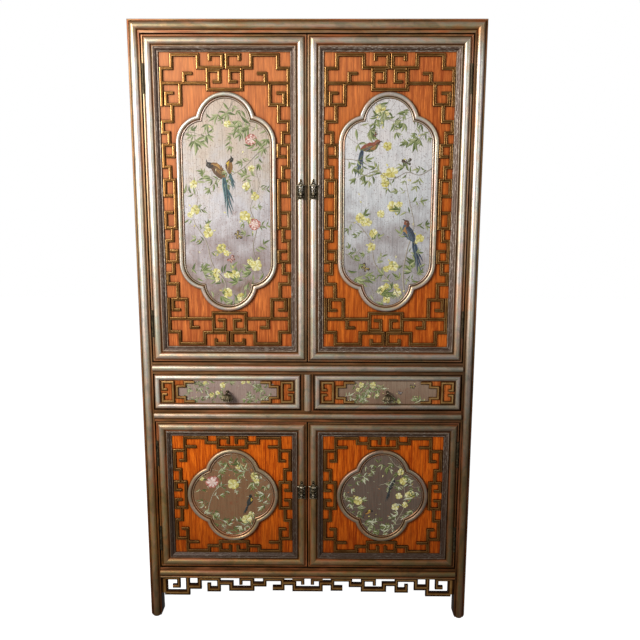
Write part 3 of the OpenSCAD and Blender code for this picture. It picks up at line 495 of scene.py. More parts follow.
APRON = [
    (40, 80, 64, 150), (40, 80, 146, 98), (131, 80, 146, 150),
    (40, 141, 111, 150), (98, 108, 111, 150), (82, 108, 111, 122),
    (131, 104, 189, 124), (174, 104, 189, 150), (174, 137, 260, 150),
    (247, 94, 260, 150), (210, 94, 260, 112), (210, 94, 224, 126),
    (247, 120, 308, 136), (291, 97, 308, 136), (291, 97, 385, 114),
    (370, 97, 385, 150), (329, 137, 385, 150), (329, 122, 341, 150),
    (370, 115, 430, 132), (417, 115, 430, 150), (417, 137, 497, 150),
    (483, 100, 497, 150), (453, 100, 497, 119), (483, 121, 541, 139),
    (526, 97, 541, 139), (526, 137, 571, 150), (558, 124, 571, 150),
    (526, 97, 582.5, 114),
]


def gold_material():
    """Gold leaf on the bars' crests, with a brown glaze left in the edges. The bright arrises and dark edges
    are partly painted highlight and painted shade, and the gold is duller lower down as painted shade.
    """
    f = Finish("gold_fret_leaf")
    streaks, fine = f.noise(f.grain(), (30, 500, 1), 4), f.noise(f.place, 700, 2)
    lift = f.stir(f.stir(f.layer("crest"), streaks, 0.5), f.noise(f.place, 26), 0.5)
    bright = f.ramp(
        lift, (0, 0.02, 0.005, 0.001), (0.25, 0.06, 0.02, 0.003), (0.5, 0.19, 0.075, 0.013),
        (0.75, 0.36, 0.165, 0.038), (1, 0.72, 0.45, 0.18))
    dull = f.ramp(
        lift, (0, 0.01, 0.0025, 0.0005), (0.25, 0.03, 0.009, 0.0015), (0.5, 0.12, 0.042, 0.006),
        (0.75, 0.28, 0.115, 0.021), (1, 0.56, 0.31, 0.1))
    # Painted shade: the duller gold lower down stands for the light falling off toward the floor
    colour = f.mix(f.spread(f.level, 0.1, 1.35), dull, bright)
    colour = f.fleck(colour, fine, 0.6, 0.7, 0.6, (0.09, 0.035, 0.01))
    return f.done(colour, f.spread(streaks, 0.2, 0.8, 0.26, 0.42), f.plus(streaks, fine), 0.3, 0.0005, 0.75)


gold = gold_material()


# A bar's end meets another bar within SLACK of its edge and OVER past its ends,
# and is mitred with it within CORNER of an end of it, in mm
SLACK, OVER, CORNER = 0.6, 2, 2.6


def join_ends(bars, flat_at):
    """Works out how each bar (x0, z0, x1, z1, half width) ends: mitred where two
    ends meet, run in to the other's middle at a T, and squared off where free.
    Yields start, end, half width, the two cuts (slope to the left of travel), and
    whether the bar is level."""
    for n, (x0, z0, x1, z1, half) in enumerate(bars):
        level = z0 == z1
        ends, cuts = [], []
        for x, z, out in ((x0, z0, -1), (x1, z1, 1)):
            cut, add_on, stop = 0, half, None
            if any(abs((x if axis == "x" else z) - value) < 0.01 for axis, value in flat_at):
                add_on = 0
            for m, (p0, q0, p1, q1, other) in enumerate(bars):
                if m == n or (q0 == q1) == level:
                    continue
                line = p0 if level else q0
                a, b = (q0, q1) if level else (p0, p1)
                here, across = (x, z) if level else (z, x)
                if abs(line - here) > other + SLACK or not a - OVER - half < across < b + OVER + half:
                    continue
                stop, add_on = line, 0
                if min(abs(across - a), abs(across - b)) < CORNER:
                    toward = 1 if abs(across - a) < abs(across - b) else -1
                    cut = toward * out * other / half
                    break
            if stop is not None:
                x, z = (stop, z) if level else (x, stop)
            move = out * add_on
            ends.append((x + move, z) if level else (x, z + move))
            cuts.append(cut)
        yield ends[0], ends[1], half, cuts, level


def fret(work, bars, flat_at, profile, bases):
    """Bars of a profile (share of half width, depth, brightness), once for each base,
    which is x, z and the ways in which the pattern runs from there."""
    for x, z, way_x, way_z in bases:
        for start, end, half, cuts, level in join_ends(bars, flat_at):
            near, far = (at(x + way_x * u, z + way_z * v, 0) for u, v in (start, end))
            side = (0, 0, way_z) if level else (way_x, 0, 0)
            outline = [(share * half, d, b) for share, d, b in profile]
            strip(work, outline, near, far, side, cuts=(-cuts[0], cuts[1]))


sawn = [(-1, 20, 0), (-1, 11.5, 0.1), (-0.8, 10.4, 0.35), (-0.42, 10.6, 0.3), (-0.3, 10, 0.85),
        (0.3, 10, 0.9), (0.42, 10.6, 0.3), (0.8, 10.4, 0.35), (1, 11.5, 0.1), (1, 20, 0)]
# Each rectangle's middle line, stopped half a width short where its end is free
bars = []
for x0, z0, x1, z1 in APRON:
    if x1 - x0 >= z1 - z0:
        half = (z1 - z0) / 2
        bars.append((x0 + half, z0 + half, x1 - (half if x1 < CASE_W / 2 else 0), z0 + half, half))
    else:
        half = (x1 - x0) / 2
        bars.append((x0 + half, z0 + half, x0 + half, z1 - (half if z1 < RAILS[0][0] else 0), half))
work = Work()
fret(work, bars, [("x", CASE_W / 2), ("z", RAILS[0][0]), ("x", POST_W)], sawn,
     [(0, 0, 1, 1), (CASE_W, 0, -1, 1)])
work.done("apron_dressed", gold, "case", "gold_fret", "apron_fret")


# Inside and back
# Plain stained boards: back panels and rear rails dark, the inside redder and
# smoother. They keep the frame's own shapes, with their edges eased.

def wood_material(name, dark, pale, stretch, rough, wave=6, bands="Z"):
    """Stained softwood; stretch is smallest along the grain, and wave bends its figure."""
    f = Finish(name)
    rings = f.add("TexWave", {
        "Vector": f.add("Mapping", {"Vector": f.place, "Scale": stretch}).outputs[0],
        "Scale": 1.1, "Distortion": wave, "Detail": 3, "Detail Scale": 1.2,
    }, bands_direction=bands).outputs["Fac"]
    pores = f.noise(f.place, tuple(40 * s for s in stretch), 4, 0.7)
    figure = f.plus(f.times(rings, 0.2), f.times(pores, 0.8))
    colour = f.mix(f.spread(figure, 0.25, 0.75), dark, pale)
    return f.done(colour, f.spread(pores, 0.3, 0.7, rough - 0.08, rough + 0.1), pores, 0.25, 0.0005)


brown = ((0.045, 0.021, 0.01), (0.14, 0.072, 0.036))
back_wood = wood_material("stained_back_wood", *brown, (7, 12, 0.5), 0.6, 5, "X")
rail_wood = wood_material("stained_rail_wood", *brown, (0.5, 7, 12), 0.6, 5)
inner_wood = wood_material("stained_inner_wood", (0.1, 0.042, 0.018), (0.27, 0.13, 0.06), (1.5, 9, 14), 0.45)


def keep(material, ease, *names):
    """Gives nodes of the frame a finish, and eases their edges by some metres."""
    for name in names:
        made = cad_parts[name]
        made.data.materials.clear()
        made.data.materials.append(material)
        if ease:
            eased = made.modifiers.new("eased", "BEVEL")
            eased.width, eased.segments = ease, 2
            eased.limit_method, eased.angle_limit = "ANGLE", math.radians(50)


keep(back_wood, 0.0008, "back_panels")
keep(rail_wood, 0.0008, "rear_rails", "top_board")
keep(inner_wood, 0.0008, "case_boards", "drawer_partition", "shelves", "inner_strips", "left_drawer_box",
     "left_drawer_bottom", "right_drawer_box", "right_drawer_bottom")


# Doors
# Each door is a mitred frame with a half-round, a sloping dark moulding, an
# orange panel with gilded fretwork, and a lobed ring round a painted board.

DOOR_X, DOOR_W = 42.5, 538.5
FRET_EDGE = 55.5
TALL_DOOR = {"z": 969.5, "h": 1084.5, "p": (264.5, 100, 75, 199.5, 92), "drawn": (210, 489)}
SHORT_DOOR = {"z": 194.5, "h": 555, "p": (75, 100, 53, 0, 112), "drawn": (210, 221.5)}
door_leaf = leaf_material("door_silver_leaf", 0.45, 1.55, 0.97)


def door_frame(work, x0, z0, w, h, outline):
    """Four mitred lengths of a moulding, its outer edge on the rectangle."""
    foot, head, far_foot, far_head = (at(x, z, 0) for x in (x0, x0 + w) for z in (z0, z0 + h))
    for start, end, side in ((foot, head, (1, 0, 0)), (far_foot, far_head, (-1, 0, 0)),
                             (foot, far_foot, (0, 0, 1)), (head, far_head, (0, 0, -1))):
        strip(work, outline, start, end, side, cuts=(1, 1))


stile = [
    (0, 36, 0), (0, 13, 0), (0.8, 12.2, 0.12), (1.6, 12, 0.52), (5, 12, 0.5), (6.4, 13, 0),
    *arc(7.5, 31.5, 12, 4), (32.4, 13.2, 0.0), (33.5, 12.2, 0.45), (35, 12.2, 0.4), (35.5, 13, 0.1),
    (35.5, 28, 0.1), (47.5, 28, 0.1), (47.5, 36, 0.1),
]
# The dark moulding: a bead, a hollow, and a thin inner fillet
slope = [
    (35.5, 20, 0.0), (35.5, 10.4, 0.2), (36.3, 9.1, 0.7), (37.8, 8.5, 1.0), (39.3, 9.1, 0.6),
    (40.2, 10.6, 0.15), (41.2, 10.5, 0.55), (43.6, 11.4, 0.35), (46.4, 13.6, 0.2), (48.6, 15.6, 0.15),
    (49.6, 16.2, 0.1), (50.3, 15.8, 0.7), (51.8, 15.7, 0.8), (53.1, 16.5, 0.5), (53.5, 20, 0.0),
]


def dark_material():
    """Brown glaze over silver leaf, with pale flecks where it has chipped. Its dark hollows are partly
    painted shade, and it is darker toward the floor as painted shade.
    """
    f = Finish("dark_glazed_moulding")
    grain, crest = f.grain(), f.layer("crest")
    streaks = f.noise(grain, (14, 420, 1), 5, 0.65)
    chips = f.noise(grain, (60, 330, 1), 4, 0.7)
    colour = f.ramp(
        f.stir(crest, streaks, 0.9), (0, 0.03, 0.013, 0.007), (0.4, 0.1, 0.055, 0.034),
        (0.75, 0.24, 0.16, 0.105), (1, 0.42, 0.33, 0.24))
    worn = f.times(f.spread(chips, 0.53, 0.6), f.spread(f.noise(f.place, 6, 2), 0.4, 0.6, 0.3, 1))
    colour = f.mix(f.times(worn, f.spread(crest, 0, 1, 0.35, 0.95)), colour, (0.66, 0.58, 0.5))
    # Painted shade: darker toward the floor
    colour = f.mix(f.spread(f.level, 0.4, 1.2, 0.72, 0), colour, (0.03, 0.012, 0.004))
    rough = f.spread(streaks, 0.3, 0.7, 0.34, 0.55)
    return f.done(colour, rough, f.plus(streaks, chips, 0.7), 0.45, 0.0008, 0.35)


dark_glaze = dark_material()
# The upper panels carry a painted sheen of light, the lower ones painted shade toward the floor and the right
ORANGE = {
    "upper": strie_material("upper_orange_lacquer", (0.29, 0.047, 0.006), (0.58, 0.15, 0.028), 0.5),
    "lower": strie_material("lower_orange_lacquer", (0.36, 0.045, 0.001), (0.78, 0.155, 0.007), 0, 0.62),
}

TALL_FRET = [
    (5, 49, 5, 164), (5, 49, 39, 49), (39, 7, 39, 49), (39, 7, 124, 7),
    (124, 7, 124, 47), (124, 47, 203, 47), (203, 7, 203, 47),
    (161, 7, 203, 7), (162, 7, 162, 20), (5, 96, 155, 96),
    (155, 47, 155, 116), (155, 57, 193, 57), (193, 57, 193, 91),
    (176, 91, 193, 91), (155, 116, 210, 116), (79, 65, 79, 96),
    (79, 65, 100, 65), (65, 96, 65, 164), (18, 164, 65, 164),
    (19, 127, 19, 164), (19, 127, 38, 127), (37, 164, 37, 218),
    (5, 218, 37, 218), (5, 218, 5, 254), (5, 254, 25, 254),
    (25, 254, 25, 294), (5, 294, 39, 294), (5, 294, 5, 366),
    (39, 294, 39, 331), (20, 331, 39, 331), (5, 366, 25, 366),
    (25, 366, 25, 409), (5, 409, 38, 409), (5, 409, 5, 461),
    (5, 461, 25, 461), (38, 409, 38, 489),
]
SHORT_FRET = [
    (38, 5, 119, 5), (43, 5, 43, 92), (28, 91, 43, 91), (43, 39, 78, 39),
    (6, 53, 43, 53), (6, 53, 6, 125), (6, 125, 25, 125),
    (25, 125, 25, 172), (6, 172, 42, 172), (6, 172, 6, 203),
    (6, 203, 22, 203), (42, 172, 42, 221.5), (119, 5, 119, 24),
    (119, 24, 158, 24), (160, 5, 160, 41), (160, 5, 196, 5),
    (196, 5, 196, 22), (160, 41, 210, 41),
]
# The doors' fret bars: the bright arrises are a painted highlight, the dark sides partly painted shade
rounded = [(-1, 20, 0), (-1, 16.6, 0), (-0.94, 15.7, 0.1), (-0.82, 15, 0.45), (-0.62, 14.7, 0.95),
           (-0.42, 14.5, 0.55), (0, 14.5, 0.45)]
rounded += [(-share, d, b) for share, d, b in rounded[-2::-1]]


def lobe_path(p, inset):
    """Points of the medallion's outline, drawn in by inset, once round, about
    the door's middle. Lobes meet on the same cusp lines whatever the inset."""
    top_z, top_r, side_x, side_z, side_r = p
    r1, r2 = top_r - inset, side_r - inset
    dx, dz = side_x, side_z - top_z
    gap = math.hypot(dx, dz)
    a = (r1 * r1 - r2 * r2 + gap * gap) / (2 * gap)
    h = math.sqrt(max(r1 * r1 - a * a, 0))
    cx, cz = (a * dx - h * dz) / gap, top_z + (a * dz + h * dx) / gap
    turn, start = math.atan2(cx, cz - top_z), math.atan2(cz - side_z, cx - side_x)
    quarter = [(r1 * math.sin(turn * i / 20), top_z + r1 * math.cos(turn * i / 20)) for i in range(21)]
    quarter += [(side_x + r2 * math.cos(start * (1 - i / 22)), side_z + r2 * math.sin(start * (1 - i / 22)))
                for i in range(1, 23)]
    if side_z:
        quarter.append((side_x + r2, 0))
    right = quarter + [(x, -z) for x, z in quarter[-2::-1]]
    return right + [(-x, z) for x, z in right[-2:0:-1]]


turns = [i * math.pi / 10 for i in range(1, 10)]
# The ring's section: pale on the round's crest, dark at its edges and in the step, partly as painted
# highlight and painted shade
ring_rows = [
    (0, 20, 0.1), (0, 17, 0.3),
    *[(7.5 - 7.5 * math.cos(t), 17 - 7 * math.sin(t) ** 0.9, 0.3 + 0.7 * math.sin(t) ** 1.6) for t in turns],
    (15.2, 16.8, 0.05), (16.2, 16.4, 0.3), (17.2, 14.9, 0.7), (18.6, 14.4, 0.85), (20.2, 15.1, 0.6),
    (21.3, 16.8, 0.2), (21.8, 17.6, 0.1), (22, 20, 0.05),
]


def lengths(points):
    """How far along a closed line each of its points lies, in metres."""
    run = [0]
    for a, b in zip(points, points[1:] + points[:1]):
        run.append(run[-1] + math.dist(a, b) / 1000)
    return run


def ring(work, centre, p):
    rows, shift = [], marks.uniform(0, 40)
    for inset, depth, bright in ring_rows:
        path = lobe_path(p, inset)
        rows.append([work.vert(at(centre[0] + x, centre[1] + z, depth), bright) for x, z in path])
    girth, run = lengths([row[:2] for row in ring_rows]), lengths(lobe_path(p, 11))
    for n, made in enumerate(work.skin(rows + rows[:1])):
        i, k = divmod(n, len(path))
        for loop, (a, b) in zip(made.loops, ((0, 0), (1, 0), (1, 1), (0, 1))):
            loop[work.grain].uv = (shift + run[k + a], girth[i + b])


ring_leaf = leaf_material("ring_silver_leaf", -0.3, 2.1, 0.82, 0.3)

DOORS = {}
for level, door, lines in (("upper", TALL_DOOR, TALL_FRET), ("lower", SHORT_DOOR, SHORT_FRET)):
    for side, x0 in (("left", DOOR_X), ("right", CASE_W - DOOR_X - DOOR_W)):
        key, body = level + "_" + side, level + "_" + side + "_door"
        x, z = DOORS[key] = (x0 + DOOR_W / 2, door["z"] + door["h"] / 2)
        for part, outline, material, slot in (("_frame", stile, door_leaf, "silver_leaf"),
                                              ("_moulding", slope, dark_glaze, "dark_moulding")):
            work = Work()
            door_frame(work, x0, door["z"], DOOR_W, door["h"], outline)
            work.dress(key + part, material, body, slot)
        keep(ORANGE[level], 0, key + "_panel")
        # A quarter of the pattern is drawn from the panel's corner
        half_w, half_h = DOOR_W / 2 - FRET_EDGE, door["h"] / 2 - FRET_EDGE
        kx, kz = half_w / door["drawn"][0], half_h / door["drawn"][1]
        bars = [(a * kx, b * kz, c * kx, d * kz, 5.25) for a, b, c, d in lines]
        work = Work()
        fret(work, bars, [("x", half_w), ("z", half_h)], rounded,
             [(x - sx * half_w, z + sz * half_h, sx, -sz) for sx in (1, -1) for sz in (1, -1)])
        work.dress(key + "_fret", gold, body, "gold_fret")
        work = Work()
        ring(work, (x, z), door["p"])
        work.dress(key + "_ring", ring_leaf, body, "silver_ring")


# Painted medallions
# The board inside each ring is silvered, toned mauve and darker lower down
# (partly painted shade), with a painted sheen of light on the upper boards,
# rubbed with fine upright scratches, and painted by hand with branches,
# blossoms and birds.

def pot(red, green, blue):
    """A colour given from 0 to 255, in linear light."""
    return tuple(((c / 255 + 0.055) / 1.055) ** 2.4 if c > 10 else c / 3295 for c in (red, green, blue))


def pair(*tones):
    """The two tones of one brush, to its left and to its right."""
    return pot(*tones[:3]), pot(*tones[3:])


def ground_material(name, tones, low_z, high_z, speck):
    """tones are the silver's colours from the board's foot to its head; on the upper boards they also hold a
    pale cool painted sheen of light near mid-height and painted shade toward the foot.
    """
    f = Finish(name)
    clouds = f.noise(f.place, 14, 4, 0.6)
    scratch = f.noise(f.place, (480, 480, 14), 4, 0.65)
    specks = f.noise(f.place, 300, 2, 0.5)
    last = len(tones) - 1
    colour = f.ramp(f.stir(f.spread(f.level, low_z, high_z), clouds, 0.9),
                    *((n / last, *pot(*tone)) for n, tone in enumerate(tones)))
    colour = f.mix(f.spread(scratch, 0.34, 0.56, 0.7, 1), (0, 0, 0), colour)
    colour = f.fleck(colour, specks, 0.62, 0.69, 0.8, pot(*speck))
    colour = f.fleck(colour, f.noise(f.place, 38, 3, 0.6), 0.58, 0.74, 0.35, pot(*speck))
    rough = f.spread(clouds, 0.3, 0.7, 0.36, 0.5)
    return f.done(colour, rough, f.plus(scratch, specks, 0.6), 0.3, 0.0004, 0.15)


def paint_material():
    f = Finish("oil_paint")
    hairs = f.noise(f.place, 900)
    colour = f.mix(f.spread(hairs, 0.35, 0.65, 0.25, 0), f.layer("tint", "Color"), (0.05, 0.05, 0.03))
    colour = f.fleck(colour, f.noise(f.place, 160), 0.58, 0.72, 0.3, pot(175, 160, 150))
    return f.done(colour, f.spread(hairs, 0.3, 0.7, 0.42, 0.6), hairs, 0.2, 0.0003)


oil_paint = paint_material()
brushes = random.Random(5)

YELLOW = [pair(216, 206, 124, 190, 176, 88), pair(230, 224, 160, 202, 190, 112),
          pair(238, 234, 192, 216, 206, 138)]
UPPER_LEAVES = [pair(88, 104, 52, 136, 146, 90), pair(116, 130, 76, 164, 170, 122),
                pair(68, 86, 42, 108, 120, 66), pair(140, 148, 98, 180, 182, 140)]
LOWER_LEAVES = [pair(78, 90, 40, 128, 138, 78), pair(118, 126, 74, 188, 190, 150),
                pair(58, 70, 30, 102, 112, 56), pair(150, 158, 120, 212, 212, 188)]
UPPER_BOUGH = pair(176, 166, 150, 120, 108, 92)
LOWER_BOUGH = pair(178, 170, 146, 112, 98, 76)
HEART = pair(150, 124, 40, 112, 96, 44)
ROSE, CREAM = pair(194, 118, 104, 164, 88, 78), pair(238, 220, 210, 218, 178, 166)
OLIVE_WING, DARK_RIM = pair(196, 176, 92, 150, 128, 66), pair(80, 60, 44, 56, 42, 34)
PINK_WING, PINK_RIM = pair(226, 196, 186, 198, 146, 132), pair(160, 92, 78, 122, 70, 60)


def coat(**parts):
    return {part: pair(*tones) for part, tones in parts.items()}


PHEASANT = coat(
    tail=(64, 104, 112, 38, 62, 72), tail_deep=(44, 56, 66, 90, 128, 130), body=(96, 64, 32, 140, 98, 46),
    breast=(222, 186, 58, 196, 150, 48), head=(52, 42, 30, 34, 28, 24), wing=(70, 48, 30, 176, 130, 60),
    beak=(70, 60, 50, 40, 34, 30))
BLUE_BIRD = coat(
    tail=(58, 78, 104, 34, 44, 62), tail_deep=(38, 46, 60, 86, 104, 120), body=(86, 104, 120, 56, 66, 84),
    breast=(186, 140, 84, 160, 112, 66), head=(142, 84, 60, 96, 60, 46), wing=(48, 58, 76, 130, 140, 150),
    beak=(60, 50, 44, 36, 30, 28))
FINCH = coat(
    tail=(40, 42, 44, 24, 26, 28), tail_deep=(30, 32, 36, 60, 66, 70), body=(46, 48, 46, 30, 32, 32),
    breast=(214, 190, 80, 180, 150, 54), head=(34, 36, 36, 24, 24, 26), wing=(70, 84, 96, 40, 46, 54),
    beak=(90, 80, 60, 50, 44, 36))


class Painting:
    """Strokes of paint on a board, each a thin raised form; places are in mm from
    the board's middle, and angles in degrees from the right, turning upward."""

    def __init__(self, centre, ground_d, holds, leaves, bark, scale):
        self.work, self.centre, self.ground_d, self.holds = Work(), centre, ground_d, holds
        self.leaves, self.bark, self.scale = leaves, bark, scale
        self.layer = 0

    def stroke(self, path, widths, tones, relief=0.25):
        """Follows path with the given widths; one tone to its left, one to its right.
        It stops where it would leave the board."""
        shown = [self.holds(*point) for point in path]
        if False in shown:
            first = shown.index(True) if True in shown else len(path)
            stop = first + shown[first:].index(False) if False in shown[first:] else len(path)
            path, widths = path[first:stop], widths[first:stop]
        if len(path) < 2:
            return
        self.layer = (self.layer + 1) % 40
        base, shade = self.ground_d - 0.012 * self.layer, brushes.uniform(0.86, 1.12)
        points = [(self.centre[0] + x, self.centre[1] + z, base) for x, z in path]
        for n, face in enumerate(self.work.ridge(points, widths, relief, foot=self.ground_d + 0.3)):
            for loop in face.loops:
                loop[self.work.tint] = (*(c * shade for c in tones[n % 2]), 1)

    def frame(self, x, z, angle, size, flip=1):
        """Returns a function that sets (along, up) into place."""
        c, s = math.cos(math.radians(angle)), math.sin(math.radians(angle))
        return lambda u, v: (x + size * (u * c - flip * v * s), z + size * (u * s + flip * v * c))

    def dab(self, put, along, size, widths, tones, relief=0.25):
        """A straight stroke, with its widths in shares of size."""
        self.stroke([put(u, 0) for u in along], [size * w for w in widths], tones, relief)

    def leaf(self, x, z, angle, length):
        put, bend = self.frame(x, z, angle, length), brushes.uniform(-0.14, 0.14)
        path = [put(u, bend * math.sin(u * math.pi)) for u in (0, 0.18, 0.36, 0.54, 0.76, 1)]
        tones = brushes.choice(self.leaves)
        self.stroke(path, [length * 0.26 * w for w in (0.14, 0.7, 1, 0.92, 0.55, 0.05)], tones)
        if length > 18:
            self.stroke(path[:5], [0.9] * 5, (tones[1], tones[1]), 0.45)

    def spray(self, x, z, angle, length, few):
        """A twig with a few leaves along it and a fan of them at its tip."""
        angle += 0.22 * ((-90 - angle + 180) % 360 - 180)
        put = self.frame(x, z, angle, length)
        sag = brushes.uniform(-0.12, 0.12)
        stem = [put(u, sag * u * u) for u in (0, 0.25, 0.5, 0.75, 1)]
        self.stroke(stem, [1.1, 1, 0.9, 0.7, 0.5], self.bark)
        size = length * 0.76
        for n in range(few):
            u = 0.25 + 0.5 * n / few
            lean = brushes.choice((-1, 1)) * brushes.uniform(30, 65)
            self.leaf(*put(u, sag * u * u), angle + lean, size * brushes.uniform(0.6, 0.95))
        for lean in (-60, -28, 2, 32, 62):
            if brushes.random() < 0.8:
                self.leaf(*put(1, sag), angle + lean + brushes.uniform(-10, 10),
                          size * brushes.uniform(0.8, 1.2) * (1 - abs(lean) / 190))

    def bough(self, thick, thin, *places):
        """A branch through places (x, z, x, z and so on), thinning to its end, with
        sprays along it."""
        points = list(zip(places[::2], places[1::2]))
        path, ends = [], [points[0], *points, points[-1]]
        for corners in zip(ends, ends[1:], ends[2:], ends[3:]):
            for k in range(6):
                t = k / 6
                path.append(tuple(
                    0.5 * (2 * q + (r - p) * t + (2 * p - 5 * q + 4 * r - s) * t * t
                           + (3 * q - p - 3 * r + s) * t ** 3)
                    for p, q, r, s in zip(*corners)))
        path.append(points[-1])
        count = len(path)
        widths = [(thick + (thin - thick) * n / count) * brushes.uniform(0.85, 1.15) for n in range(count)]
        self.stroke(path, widths, self.bark, 0.35)
        side = brushes.choice((1, -1))
        for n in range(3, count - 1, 3):
            (x0, z0), (x1, z1) = path[n - 1], path[n + 1]
            side = -side
            lean = math.degrees(math.atan2(z1 - z0, x1 - x0)) + side * brushes.uniform(28, 70)
            self.spray(*path[n], lean, brushes.uniform(26, 44) * self.scale, brushes.choice((2, 2, 3, 4)))

    def blossom(self, x, z, size):
        """Uneven petals, some doubled, round an olive heart."""
        turn, count = brushes.uniform(0, 72), brushes.choice((5, 5, 6))
        for n in range(count * 2):
            reach = size * (brushes.uniform(0.82, 1.12) if n < count else brushes.uniform(0.45, 0.68))
            put = self.frame(x, z, turn + n * 360 / count + brushes.uniform(-12, 12), reach)
            self.dab(put, (0.08, 0.35, 0.62, 0.85, 1), reach, (0.3, 0.66, 0.94, 0.86, 0.42),
                     brushes.choice(YELLOW), 0.3)
        for n in range(6):
            put = self.frame(x, z, n * 60, size)
            self.stroke([put(0.02, 0), put(0.15, 0), put(0.27, 0.03)], [size * w for w in (0.16, 0.12, 0.08)],
                        HEART, 0.35)

    def posy(self, x, z, size):
        """A blossom; a large one has a small one and a bud beside it."""
        if size > 15:
            lean = brushes.uniform(0, 360)
            self.blossom(*self.frame(x, z, lean, size)(1.4, 0), size * 0.58)
        self.blossom(x, z, size)
        if size > 15:
            self.bud(*self.frame(x, z, lean - 80, size)(1.2, 0), lean - 80, size * 0.5)

    def fringe(self, outline, shares, length):
        """Sprays that come in from under the ring, at the given shares of its length."""
        for share in shares:
            x, z = outline[int(share * len(outline)) % len(outline)]
            inward = math.degrees(math.atan2(-z * 0.3, -x)) + brushes.uniform(-55, 55)
            self.spray(x, z, inward, length * brushes.uniform(0.8, 1.2), brushes.choice((0, 1)))

    def peony(self, x, z, size):
        """Rings of petals, red at their edges and pale within."""
        for layer, (reach, count) in enumerate(((1, 8), (0.76, 6), (0.52, 5), (0.3, 4))):
            for n in range(count):
                angle = n * 360 / count + layer * 31 + brushes.uniform(-13, 13)
                out = size * reach * brushes.uniform(0.86, 1.08)
                put = self.frame(x, z, angle, out)
                for tones, share in ((ROSE, 1), (CREAM, 0.92)):
                    self.dab(put, [u * share for u in (0.1, 0.4, 0.7, 0.9, 1)], out * share,
                             (0.4, 0.8, 1, 0.9, 0.5), tones, 0.3)

    def bud(self, x, z, angle, size, tones=None):
        put = self.frame(x, z, angle, size)
        self.dab(put, (-0.9, 0), 0.8, (1, 1), self.bark)
        self.dab(put, (0, 0.3, 0.7, 1), size, (0.3, 0.6, 0.5, 0.1), tones or brushes.choice(YELLOW))

    def scatter(self, count, reach, low, high, small, large, *tones):
        """Buds here and there, of some tones besides the blossoms' own."""
        for _ in range(count):
            self.bud(brushes.uniform(-reach, reach), brushes.uniform(low, high), brushes.uniform(0, 360),
                     brushes.uniform(small, large), brushes.choice((None, *tones)) if tones else None)

    def bird(self, x, z, angle, size, flip, coat, fall, reach):
        """A bird perched at x, z; its tail hangs at the angle fall, and coat is its tones by part."""
        put = self.frame(x, z, angle, size, flip)

        def part(points, widths, tones, relief=0.35):
            self.stroke([put(*point) for point in points], [size * w for w in widths], tones, relief)

        root = put(-0.5, 0)
        for n, (share, swing) in enumerate(((1, -3), (0.86, 6), (0.94, 1), (0.66, 10), (0.74, -9), (0.5, 3))):
            feather = self.frame(*root, fall + swing, size * reach * share)
            self.stroke([feather(u, 0.03 * math.sin(u * 5 + n)) for u in (0, 0.25, 0.5, 0.75, 1)],
                        [size * w for w in (0.08, 0.12, 0.11, 0.08, 0.02)],
                        coat["tail" if n % 2 else "tail_deep"], 0.3)
        part([(-0.62, -0.02), (-0.3, 0.02), (0.05, 0.03), (0.32, 0.08), (0.5, 0.2)],
             (0.14, 0.5, 0.62, 0.5, 0.3), coat["body"])
        part([(0.02, -0.08), (0.25, -0.02), (0.42, 0.1)], (0.16, 0.36, 0.2), coat["breast"], 0.42)
        part([(0.36, 0.14), (0.5, 0.26), (0.64, 0.32), (0.74, 0.3)],
             (0.26, 0.36, 0.3, 0.1), coat["head"], 0.42)
        part([(0.7, 0.31), (0.82, 0.28), (0.9, 0.22)], (0.09, 0.06, 0.01), coat["beak"], 0.45)
        for n in range(4):
            quill = [(0.22 - n * 0.05, 0.1 - n * 0.035), (-0.1, 0.07 - n * 0.05),
                     (n * 0.05 - 0.5, -n * 0.06)]
            part(quill, (0.07, 0.13, 0.03), coat["wing" if n % 2 else "body"], 0.5)
        part([(0.56, 0.31), (0.6, 0.31)], (0.05, 0.05), pair(240, 235, 220, 30, 25, 20), 0.6)
        for foot in (-0.1, 0.08):
            part([(foot, -0.16), (foot + 0.05, -0.3)], (0.035, 0.03), coat["beak"], 0.3)

    def butterfly(self, x, z, angle, size, wing, rim):
        for side in (1, -1):
            put = self.frame(x, z, angle, size, side)
            for (u, v), wide in (((0.55, 0.85), 0.62), ((-0.4, 0.6), 0.5)):
                for tones, share in ((rim, 1), (wing, 0.78)):
                    self.stroke([put(u * t * share, v * t * share) for t in (0.1, 0.5, 0.85, 1.05)],
                                [size * wide * share * w for w in (0.2, 0.75, 1, 0.45)], tones, 0.3)
            self.stroke([put(0.4, 0), put(0.8, 0.2), put(1.05, 0.26)], [0.5, 0.4, 0.4], rim, 0.2)
        put = self.frame(x, z, angle, size)
        self.dab(put, (-0.6, -0.1, 0.35, 0.5), size, (0.06, 0.14, 0.16, 0.06), rim, 0.4)

    def done(self, name, body):
        self.work.done(name, oil_paint, body, "silver_ring")


def each(draw, *rows):
    for row in rows:
        draw(*row)


